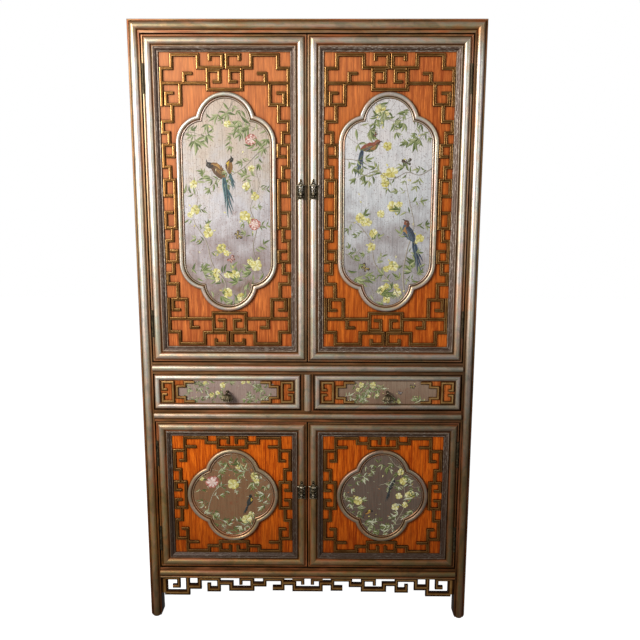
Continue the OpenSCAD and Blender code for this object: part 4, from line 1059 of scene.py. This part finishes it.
def tall_left(art):
    each(
        art.bough,
        (5.5, 1.4, -34, -352, -10, -272, -54, -204, -74, -124, -114, -52, -98, 28, -126, 92),
        (3.6, 1.2, 120, -240, 86, -152, 100, -72, 78, -12, 108, 58, 98, 112),
        (3.6, 1.2, 158, 196, 108, 168, 60, 122, 8, 92, -30, 82, -62, 92),
        (2.6, 1, 30, 352, 12, 292, 32, 244, -6, 206), (2.4, 1, 158, 262, 112, 246, 66, 262),
        (2.4, 1, -158, 214, -116, 236, -70, 216), (2.6, 1.2, 58, -348, 44, -296, 70, -238))
    each(
        art.posy, (-108, -20, 17), (-112, 66, 14), (-66, -96, 16), (-24, -148, 18), (-44, -232, 16),
        (22, -238, 19), (96, -206, 18), (58, -36, 18), (94, 26, 14), (66, 60, 13), (-4, -298, 17),
        (40, -314, 14), (84, 118, 12), (6, 262, 12))
    each(art.peony, (84, 210, 20), (92, -66, 19))
    art.bird(8, 124, 96, 40, -1, PHEASANT, -74, 1.5)
    art.bird(-26, 112, 124, 58, 1, {**PHEASANT, "breast": PHEASANT["wing"]}, -80, 2.3)
    art.butterfly(34, -104, 24, 17, OLIVE_WING, DARK_RIM)
    art.butterfly(12, -186, 130, 15, PINK_WING, PINK_RIM)
    art.scatter(16, 120, -270, 280, 6, 9)


def tall_right(art):
    each(
        art.bough,
        (5.5, 1.4, 74, -352, 58, -252, 68, -160, 90, -72, 74, 8, 60, 74),
        (4, 1.2, 60, -346, 18, -268, -38, -202, -56, -122, -100, -66, -134, -58),
        (3, 1, 158, 128, 108, 98, 62, 106, 10, 82, -42, 110, -92, 86),
        (2.8, 1, -158, 150, -112, 146, -66, 128),
        (2.6, 1, -46, 352, -34, 306, 12, 272, 46, 286), (2.4, 1, 84, 350, 78, 286, 112, 242, 90, 196),
        (2.2, 1, -158, -150, -120, -178, -92, -150), (2.2, 1, -50, -350, -44, -300, -66, -262))
    each(
        art.posy, (-30, 308, 18), (-4, 190, 15), (12, 106, 20), (-10, 70, 15), (16, -8, 18), (-92, -44, 17),
        (-66, -58, 14), (-46, -96, 15), (-52, -140, 15), (22, -208, 18), (-16, -292, 17), (38, -300, 17),
        (112, -112, 16), (2, -322, 14), (88, 284, 12), (-22, -30, 13))
    art.bird(-62, 186, 8, 50, 1, {**BLUE_BIRD, "body": pair(150, 80, 60, 110, 110, 60)}, -100, 2)
    art.bird(72, -96, 128, 56, -1, BLUE_BIRD, -76, 2.2)
    art.butterfly(62, 138, 100, 18, pair(150, 160, 130, 96, 104, 84), DARK_RIM)
    art.butterfly(-74, -214, 40, 17, OLIVE_WING, DARK_RIM)
    art.butterfly(-44, 228, 150, 10, PINK_RIM, DARK_RIM)
    art.scatter(18, 120, -270, 280, 6, 9)


BUD_TONES = (pair(200, 150, 90, 170, 96, 60), pair(180, 180, 150, 130, 130, 100))


def short_left(art):
    each(
        art.bough,
        (3.4, 1.2, -100, -96, -84, -30, -62, 18, -20, 40, 30, 26),
        (2.6, 1, 128, -96, 72, -94, 46, -116, 8, -100),
        (2.6, 1, 158, 40, 112, 60, 70, 74, 56, 112), (2.4, 1, -64, 138, -40, 108, 0, 92, 30, 110),
        (2.2, 1, -40, -150, -30, -110, -60, -90), (2.2, 1, 158, -20, 120, -30, 92, -12))
    each(
        art.blossom, (2, 40, 20), (78, 74, 15), (86, 54, 11), (48, -94, 18), (66, -76, 13), (-112, 62, 9),
        (20, 106, 9))
    art.peony(-74, 50, 23)
    art.bird(62, -24, 60, 32, 1, FINCH, -112, 1.2)
    art.butterfly(34, 112, 60, 9, PINK_WING, OLIVE_WING)
    art.scatter(26, 125, -110, 115, 4, 7, *BUD_TONES)


def short_right(art):
    each(
        art.bough,
        (3.4, 1.2, 14, -150, 52, -100, 82, -40, 80, 26, 64, 98), (2.4, 1, -158, 4, -104, -14, -62, -44),
        (2.2, 1, -140, 64, -100, 76, -58, 70), (2.4, 1, 20, 150, 50, 112, 86, 104),
        (2.4, 1, 158, 40, 112, 34, 100, 60), (2.4, 1, 120, -96, 60, -110, 10, -120),
        (2.2, 1, -92, -100, -48, -112, -20, -96), (1.8, 1, -10, 40, 20, 46, 44, 30))
    each(
        art.blossom, (66, 90, 13), (76, 58, 15), (100, 2, 17), (60, -2, 12), (48, -42, 14), (-86, -20, 17),
        (84, -34, 11))
    art.bird(30, 40, 80, 30, -1, {**FINCH, "breast": pair(190, 190, 180, 150, 140, 120)}, -104, 1.7)
    art.bird(-50, -62, 40, 22, -1, {**FINCH, "body": PHEASANT["wing"], "tail": PHEASANT["body"]}, -120, 0.9)
    art.scatter(26, 125, -110, 115, 4, 7, *BUD_TONES)


# Each board: its composition, a speck colour, and its tones from foot to head. On the upper boards the pale
# cool middle tone is a painted sheen of light and the darker foot is partly painted shade.
BOARDS = {
    "upper_left": (tall_left, (134, 96, 78), (142, 120, 108), (176, 164, 164), (206, 202, 204),
                   (198, 184, 170), (200, 180, 162)),
    "upper_right": (tall_right, (122, 92, 84), (152, 144, 142), (176, 170, 170), (212, 214, 216),
                    (226, 224, 224), (220, 214, 212)),
    "lower_left": (short_left, (136, 66, 40), (130, 97, 68), (143, 108, 76)),
    "lower_right": (short_right, (120, 72, 50), (100, 84, 72), (112, 95, 83)),
}
GROUND_D = 17.85
FRINGE = 27


def lobed(p, inset):
    """Tells whether a point lies inside the medallion's outline, drawn in by inset."""
    across, rise, side_x, side_z, round_r = p[0], p[1] - inset, p[2], p[3], p[4] - inset
    return lambda x, z: (
        math.hypot(x, abs(z) - across) < rise or math.hypot(abs(x) - side_x, abs(z) - side_z) < round_r
        or (abs(x) < side_x + round_r and abs(z) < side_z))


def board(name, material, body, outline, middle, d, thick):
    """A thin silvered board, its face at depth d."""
    work = Work()
    work.grow([work.vert(at(middle[0] + x, middle[1] + z, d)) for x, z in outline], (0, thick, 0))
    work.done(name, material, body, "silver_ring")


for key, (compose, speck, *tones) in BOARDS.items():
    door, low_z, high_z, greens, bark, scale, length = (
        (TALL_DOOR, 1.16, 1.86, UPPER_LEAVES, UPPER_BOUGH, 1, 46) if key.startswith("upper")
        else (SHORT_DOOR, 0.3, 0.65, LOWER_LEAVES, LOWER_BOUGH, 0.78, 32))
    silver = ground_material(key + "_painted_silver", tones, low_z, high_z, speck)
    outline = lobe_path(door["p"], 21.6)
    board(key + "_painted_ground", silver, key + "_door", outline, DOORS[key], GROUND_D, 0.0012)
    art = Painting(DOORS[key], GROUND_D, lobed(door["p"], 20.5), greens, bark, scale)
    compose(art)
    places = [n / FRINGE + brushes.uniform(-0.015, 0.015) for n in range(FRINGE)]
    art.fringe(lobe_path(door["p"], 23), places, length)
    art.done(key + "_painting", key + "_door")


# Drawers
# A solid front with a mitred half-round round a sunk field. The field's ends
# are orange under stepped fretwork, its middle is silvered and painted.

FRONT_X, FRONT_Z, FRONT_W, FRONT_H = 42.5, 796.5, 516, 126
FIELD_W, FIELD_H = 472, 82
SILVER_D = 13.85
border = [
    (0, 32, 0.1), (0, 13, 0.25), (1, 12, 0.5), (1.6, 12.8, 0), *arc(2, 20, 12, 5),
    (20.4, 12.6, 0.1), (21.4, 12.2, 0.5), (22, 12.8, 0.3), (22, 32, 0.1),
]
END_BARS = [
    (7, 35, 44, 35), (7, 9, 7, 35), (7, 9, 17, 9), (44, 0, 44, 35), (58, 0, 58, 20),
    (58, 20, 86, 20), (86, 20, 86, 35), (86, 35, 115, 35),
]
stepped = [(-1, 14, 0.05), (-1, 10.2, 0.25), (-0.8, 9.2, 0.45), (-0.35, 8.6, 0.9), (0.35, 8.5, 0.95),
           (0.8, 9.2, 0.45), (1, 10.2, 0.25), (1, 14, 0.05)]
drawer_leaf = leaf_material("drawer_silver_leaf", 0.2, 1.2, 1.05, 0.35)
drawer_orange = strie_material("drawer_orange_lacquer", (0.28, 0.05, 0.007), (0.58, 0.16, 0.03))


def left_drawer_art(art):
    each(
        art.bough, (1.6, 0.8, -180, 42, -128, 30, -92, 36, -66, 14),
        (1.6, 0.8, -30, 42, -6, 16, -36, -4, -60, -16),
        (1.6, 0.8, 176, -4, 132, 6, 104, -12, 66, -8), (1.4, 0.8, 120, -42, 96, -22, 70, -30),
        (1.4, 0.8, -176, -24, -146, -14, -130, -28))
    each(
        art.spray, (-118, -36, 60, 24, 3), (-122, 34, -50, 24, 3), (-96, 38, -80, 24, 3),
        (118, -36, 120, 24, 3), (96, -38, 95, 24, 3), (122, 36, -130, 24, 3))
    art.bough(1.4, 0.8, 178, 34, 146, 24, 120, 34, 98, 22)
    each(art.blossom, (-16, 24, 10), (-56, -12, 9), (-36, -4, 8), (-78, 32, 8), (56, 34, 7), (74, 36, 6))
    art.scatter(14, 130, -30, 34, 3, 5)


def right_drawer_art(art):
    each(
        art.bough, (1.6, 0.8, -180, -30, -132, -10, -96, -20, -62, 8, -24, 4),
        (1.6, 0.8, -112, 42, -92, 24, -66, 30, -44, 14), (1.4, 0.8, 176, -36, 138, -28, 110, -34),
        (1.4, 0.8, 62, -42, 34, -34, 8, -38))
    each(
        art.spray, (-118, -36, 60, 26, 3), (-100, -38, 80, 26, 3), (-80, -38, 95, 26, 3),
        (-122, 34, -50, 26, 3), (-60, -36, 110, 26, 3), (118, -36, 120, 26, 3), (-76, 36, -80, 26, 3),
        (-40, 34, -70, 26, 3), (132, -30, 140, 26, 3))
    each(
        art.blossom, (-92, 26, 10), (-50, 26, 11), (22, -33, 8), (40, -34, 8), (-66, -14, 6), (-36, -10, 6),
        (-104, 10, 7))
    art.butterfly(44, -2, 70, 9, pair(200, 190, 190, 120, 120, 130), FINCH["head"])
    art.butterfly(88, 20, 80, 11, OLIVE_WING, FINCH["head"])
    art.scatter(16, 140, -30, 34, 3, 5)


DRAWERS = {
    "left": (FRONT_X, left_drawer_art, (158, 134, 122), (168, 146, 136)),
    "right": (CASE_W - FRONT_X - FRONT_W, right_drawer_art, (136, 108, 88), (150, 128, 108)),
}
# A quarter of the silvered middle, which stops under the fretwork's steps
steps = [(178, 20), (150, 20), (150, 35), (121, 35), (121, 41)]
for side, (x0, compose, *tones) in DRAWERS.items():
    body, (x, z) = side + "_drawer", (x0 + FRONT_W / 2, FRONT_Z + FRONT_H / 2)
    work = Work()
    door_frame(work, x0, FRONT_Z, FRONT_W, FRONT_H, border)
    work.done(body + "_border", drawer_leaf, body, "silver_leaf", body + "_front")
    for name, material, slot, front, rear in (("_field", drawer_orange, "orange_lacquer", 14, 17),
                                              ("_core", inner_wood, "inner_wood", 17, 32)):
        work, edge = Work(), FIELD_H / 2 + 1
        section = [(-edge, rear, 0.5), (-edge, front, 0.5), (edge, front, 0.5), (edge, rear, 0.5)]
        strip(work, section, at(x - FIELD_W / 2 - 1, z, 0), at(x + FIELD_W / 2 + 1, z, 0), (0, 0, 1))
        work.done(body + name, material, body, slot)
    outline = [(-u, v) for u, v in steps] + steps[::-1]
    outline += [(-u, -v) for u, v in outline]
    silver = ground_material(body + "_silver", tones, 0.82, 0.9, (130, 80, 60))
    board(body + "_ground", silver, body, outline, (x, z), SILVER_D, 0.001)
    art = Painting((x, z), SILVER_D, lambda u, v: abs(v) < 40 - 0.25 * max(abs(u) - 118, 0) and abs(u) < 168,
                   LOWER_LEAVES + UPPER_LEAVES, UPPER_BOUGH, 0.72)
    compose(art)
    art.done(body + "_painting", body)
    work = Work()
    bars = [(a, c, b, d, 4.75) for a, c, b, d in END_BARS]
    fret(work, bars, [("z", 0)], stepped,
         [(x - sx * FIELD_W / 2, z, sx, sz) for sx in (1, -1) for sz in (1, -1)])
    work.dress(body + "_fret", gold, body, "gold_fret")


# Metalwork
# Cast brass, darkened with age: a scrolled plate and a hanging drop on each
# door, a rosette and a bell on each drawer, and the hinges' knuckles.

def brass_material(name, worn=0.0):
    f = Finish(name)
    patina = f.noise(f.place, 120, 4, 0.6)
    lift = f.stir(f.maths("ADD", f.layer("crest"), worn), patina, 0.9)
    colour = f.ramp(lift, (0, 0.014, 0.01, 0.005), (0.4, 0.05, 0.037, 0.018), (0.72, 0.18, 0.14, 0.075),
                    (1, 0.75, 0.68, 0.54))
    height = f.plus(patina, f.noise(f.place, 900, 2), 0.4)
    return f.done(colour, f.spread(patina, 0.3, 0.7, 0.36, 0.6), height, 0.35, 0.0005, 0.75)


brass = brass_material("darkened_brass")
plate_brass = brass_material("rubbed_plate_brass", 0.06)
hinge_brass = brass_material("rubbed_hinge_brass", 0.42)


def turned(work, profile, centre, axis, steps=24, loop=False, petals=0):
    """Spins a profile of (radius, along, brightness) round an axis; petals
    scallops what lies past half of its greatest radius, with paler crests and
    darker furrows as painted highlight and painted shade."""
    bm, axis = work.bm, Vector(axis)
    out = axis.orthogonal().normalized()
    before = len(bm.verts)
    verts = [work.vert(centre + (out * radius + axis * along) / 1000, bright)
             for radius, along, bright in profile]
    edges = [bm.edges.new(ends) for ends in zip(verts, verts[1:] + verts[:1] if loop else verts[1:])]
    bmesh.ops.spin(bm, geom=verts + edges, cent=centre, axis=axis, angle=math.tau, steps=steps,
                   use_merge=True)
    made = bm.verts[:][before:]
    if petals:
        widest, across = max(radius for radius, _, _ in profile) / 1000, axis.cross(out)
        for vert in made:
            arm = vert.co - centre
            arm -= axis * arm.dot(axis)
            if arm.length > widest / 2:
                swell = 0.07 * math.cos(petals * math.atan2(arm.dot(across), arm.dot(out)))
                vert.co += arm * swell
                vert[work.crest] += 3 * swell
    bmesh.ops.remove_doubles(bm, verts=made, dist=1e-6)


def pin(work, x, z, d, length):
    """A level pin with eased ends, starting at x."""
    turned(work, [(0, 0, 0.6), (1.2, 0.1, 0.8), (1.5, 0.5, 0.8), (1.5, length - 0.5, 0.8),
                  (1.2, length - 0.1, 0.8), (0, length, 0.6)], at(x, z, d), (1, 0, 0), 14)


def eye(work, centre, half):
    """A drilled boss round a pin."""
    bore, rim = 1.75, 3.6
    section = [(bore, -half, 0.2), (rim - 0.5, -half, 0.6), (rim, -half + 0.5, 0.8),
               (rim, half - 0.5, 0.8), (rim - 0.5, half, 0.6), (bore, half, 0.2)]
    turned(work, section, centre, (1, 0, 0), 20, loop=True)


def lug(work, x, z, reach, half, front, rear):
    """An upright cheek that carries a pin."""
    strip(work, [(-half, front, 0.6), (half, front, 0.6), (half, rear, 0.1), (-half, rear, 0.1)],
          at(x, z - reach, 0), at(x, z + reach, 0), (1, 0, 0))


def scroll(work, points, width, rise, bright):
    """A raised tendril through points (x, z, depth of the metal under it)."""
    widths = [width * (1 - 0.45 * n / len(points)) for n in range(len(points))]
    work.ridge(points, widths, rise, (0.2, bright, 0.2, 0))


HALF_PLATE = [
    (0, 42.4), (2.8, 41.6), (4.6, 39.4), (4.8, 36.8), (3.8, 34.4), (5, 32.6), (5.9, 29.6), (5.8, 26.6),
    (7.6, 24.6), (13, 24.4), (13.8, 22.8), (15.8, 22.4), (16.4, 20.6), (15.8, 18.8), (14, 18), (13.9, 10),
    (13.9, -4), (13.9, -16), (14, -22.5), (13.8, -26), (12, -26.9), (10, -26.4), (8.8, -24.5), (3, -24.5),
    (0, -24.5),
]
PIN_UP, PIN_OUT = 20, -3.1


def face(x):
    """The plate's face is bent a little round the half-round under it."""
    return 1.9 + 0.012 * x * x


def pull_plate(work, middle_x, z):
    outline = HALF_PLATE + [(-x, h) for x, h in HALF_PLATE[-2:0:-1]]
    rows, steps = [], ((0, None, 0.05), (0, 0.9, 0.2), (0.5, 0.2, 0.6), (1.4, 0, 0.45), (1.8, 0.5, 0.1))
    for inset, drop, bright in steps:
        row = []
        for n, (x, h) in enumerate(outline):
            (x0, h0), (x1, h1) = outline[n - 1], outline[(n + 1) % len(outline)]
            run = math.dist((x0, h0), (x1, h1))
            px, ph = x + (h1 - h0) / run * inset, h - (x1 - x0) / run * inset
            row.append(work.vert(at(middle_x + px, z + ph, 7 if drop is None else face(x) + drop), bright))
        rows.append(row)
    work.skin(rows)
    work.bm.faces.new(rows[0])
    bmesh.ops.triangulate(work.bm, faces=[work.bm.faces.new(rows[-1])])
    # A straight fillet under the finial, and a smaller one at the foot; their
    # crests take the palest tone, a painted highlight
    for h, wide, end in ((20.6, 4, 15), (-23, 2.2, 12.8)):
        line = [(middle_x + x, z + h, face(x) + 0.4) for x in (-end, -end / 2, 0, end / 2, end)]
        scroll(work, line, wide, 1.3, 1)
    # Cast scrollwork: four pairs of tendrils that curl in to a boss
    for side in (1, -1):
        for x, h, turn, size, way in ((6.8, 10.5, 200, 6, 1), (7.6, -3, 160, 6, -1), (7, -15.5, 200, 6.2, 1),
                                      (2, 29.5, 250, 3, 1)):
            points = []
            for n in range(14):
                angle, reach = math.radians(turn + way * n * 34), size * (1 - n / 16)
                px = side * (x + reach * math.cos(angle) * 0.9)
                points.append((middle_x + px, z + h + reach * math.sin(angle), face(px) + 0.5))
            scroll(work, points, 2.1, 1.2, 0.8)
            turned(work, [(0, 1.5, 1), (0.8, 1.3, 0.9), (1.3, 0.6, 0.5), (1.5, -0.6, 0.1), (0, -0.6, 0.1)],
                   at(middle_x + side * x, z + h, face(x) + 0.5), (0, -1, 0), 10)
    turned(work, [(0, 1.9, 0.7), (2, 1.5, 0.5), (3.4, 0.4, 0.3), (3.9, -0.8, 0.1), (0, -0.8, 0.1)],
           at(middle_x, z + 37.6, face(0) + 0.5), (0, -1, 0), 18)
    for side in (1, -1):
        x = middle_x + side * 7
        cheek = [(0, 0, 0.6), (2, 0.1, 0.7), (2.4, 0.5, 0.8), (2.4, 2.5, 0.8), (2, 2.9, 0.7), (0, 3, 0.6)]
        turned(work, cheek, at(x - 1.5, z + PIN_UP, PIN_OUT), (1, 0, 0), 16)
        strip(work, [(-1.5, PIN_OUT, 0.5), (1.5, PIN_OUT, 0.5), (1.5, 3, 0.1), (-1.5, 3, 0.1)],
              at(x, z + PIN_UP - 2.2, 0), at(x, z + PIN_UP + 2.2, 0), (1, 0, 0))
    pin(work, middle_x - 8.5, z + PIN_UP, PIN_OUT, 17)


BALUSTER = [
    (0, 0, 0.7), (1.2, 0.2, 0.8), (2, 0.8, 0.9), (2.8, 2.2, 0.9), (2.6, 3.4, 0.6), (1.8, 4.6, 0.1),
    (2.6, 5.8, 0.5), (3.6, 7.4, 0.8), (4.1, 10, 0.9), (3.8, 13, 0.7), (2.9, 17.5, 0.5), (2.1, 22.4, 0.2),
    (1.9, 24.4, 0.1), (2.8, 26, 0.9), (2.8, 28, 0.8), (1.9, 29.6, 0.1), (1.7, 32, 0.3), (1.9, 34.6, 0.3),
    (0, 34.8, 0.3),
]
PULL_X = {"left": 561.5, "right": 603.5}
for key in DOORS:
    level, side = key.split("_")
    x, z, cast = PULL_X[side], *((1553, plate_brass) if level == "upper" else (490, brass))
    work = Work()
    pull_plate(work, x, z)
    work.dress(key + "_plate", cast, key + "_door", "aged_brass", 40)
    work = Work()
    eye(work, at(x, z + PIN_UP, PIN_OUT), 4)
    turned(work, BALUSTER, at(x, z - 18, PIN_OUT), (0, 0, 1), 22)
    work.dress(key + "_drop", brass, key + "_pull", "aged_brass", 50)
    keep(hinge_brass, 0.0003, key + "_hinges")
keep(hinge_brass, 0.0003, "case_hinges")

BOSS = [(0, 0, 0.1), (5.5, 0, 0.1), (5.5, 1, 0.3), (5.1, 1.9, 0.6), (4.7, 2, 0.3), (4.4, 2.6, 0.5),
        (3.6, 3, 0.5), (0, 3, 0.4)]
# The bell is ribbed from its crown to its rim, and thinner front to back
BELL = [
    (0, 1.8, 0.05), (17, 1.6, 0.05), (18.4, 0.2, 0.3), (19.6, 0, 0.6), (20.5, 1.2, 0.75), (20.5, 3.2, 0.6),
    (19, 4.4, 0.1), (19.2, 6, 0.5), (17.7, 9.7, 0.5), (15.6, 14.2, 0.5), (12.7, 18.8, 0.45), (9.6, 21.9, 0.4),
    (6.2, 23.5, 0.35), (4.4, 24.2, 0.7), (1.9, 24.5, 0.3), (1.8, 26.4, 0.2), (0, 26.5, 0.2),
]
BELL_PIN_Z, BELL_PIN_D, BELL_MOUTH_Z = 860.5, -4, 832
for side, (x0, *_) in DRAWERS.items():
    x = x0 + FRONT_W / 2
    hung = at(x, BELL_PIN_Z, BELL_PIN_D)
    work = Work()
    turned(work, BOSS, at(x, BELL_PIN_Z, 14), (0, -1, 0), 28)
    for s in (1, -1):
        lug(work, x + s * 3.3, BELL_PIN_Z, 2.4, 0.9, -6.4, 12)
    pin(work, x - 4.2, BELL_PIN_Z, BELL_PIN_D, 8.4)
    work.done(side + "_rosette_dressed", brass, side + "_drawer", "aged_brass", side + "_drawer_rosette", 40)
    work = Work()
    turned(work, BELL, at(x, BELL_MOUTH_Z, BELL_PIN_D), (0, 0, 1), 96, petals=16)
    for vert in work.bm.verts:
        vert.co.y = hung.y + 0.75 * (vert.co.y - hung.y)
    eye(work, hung, 2)
    work.done(side + "_bell_dressed", brass, side + "_drawer_pull", "aged_brass", side + "_drawer_drop", 45)
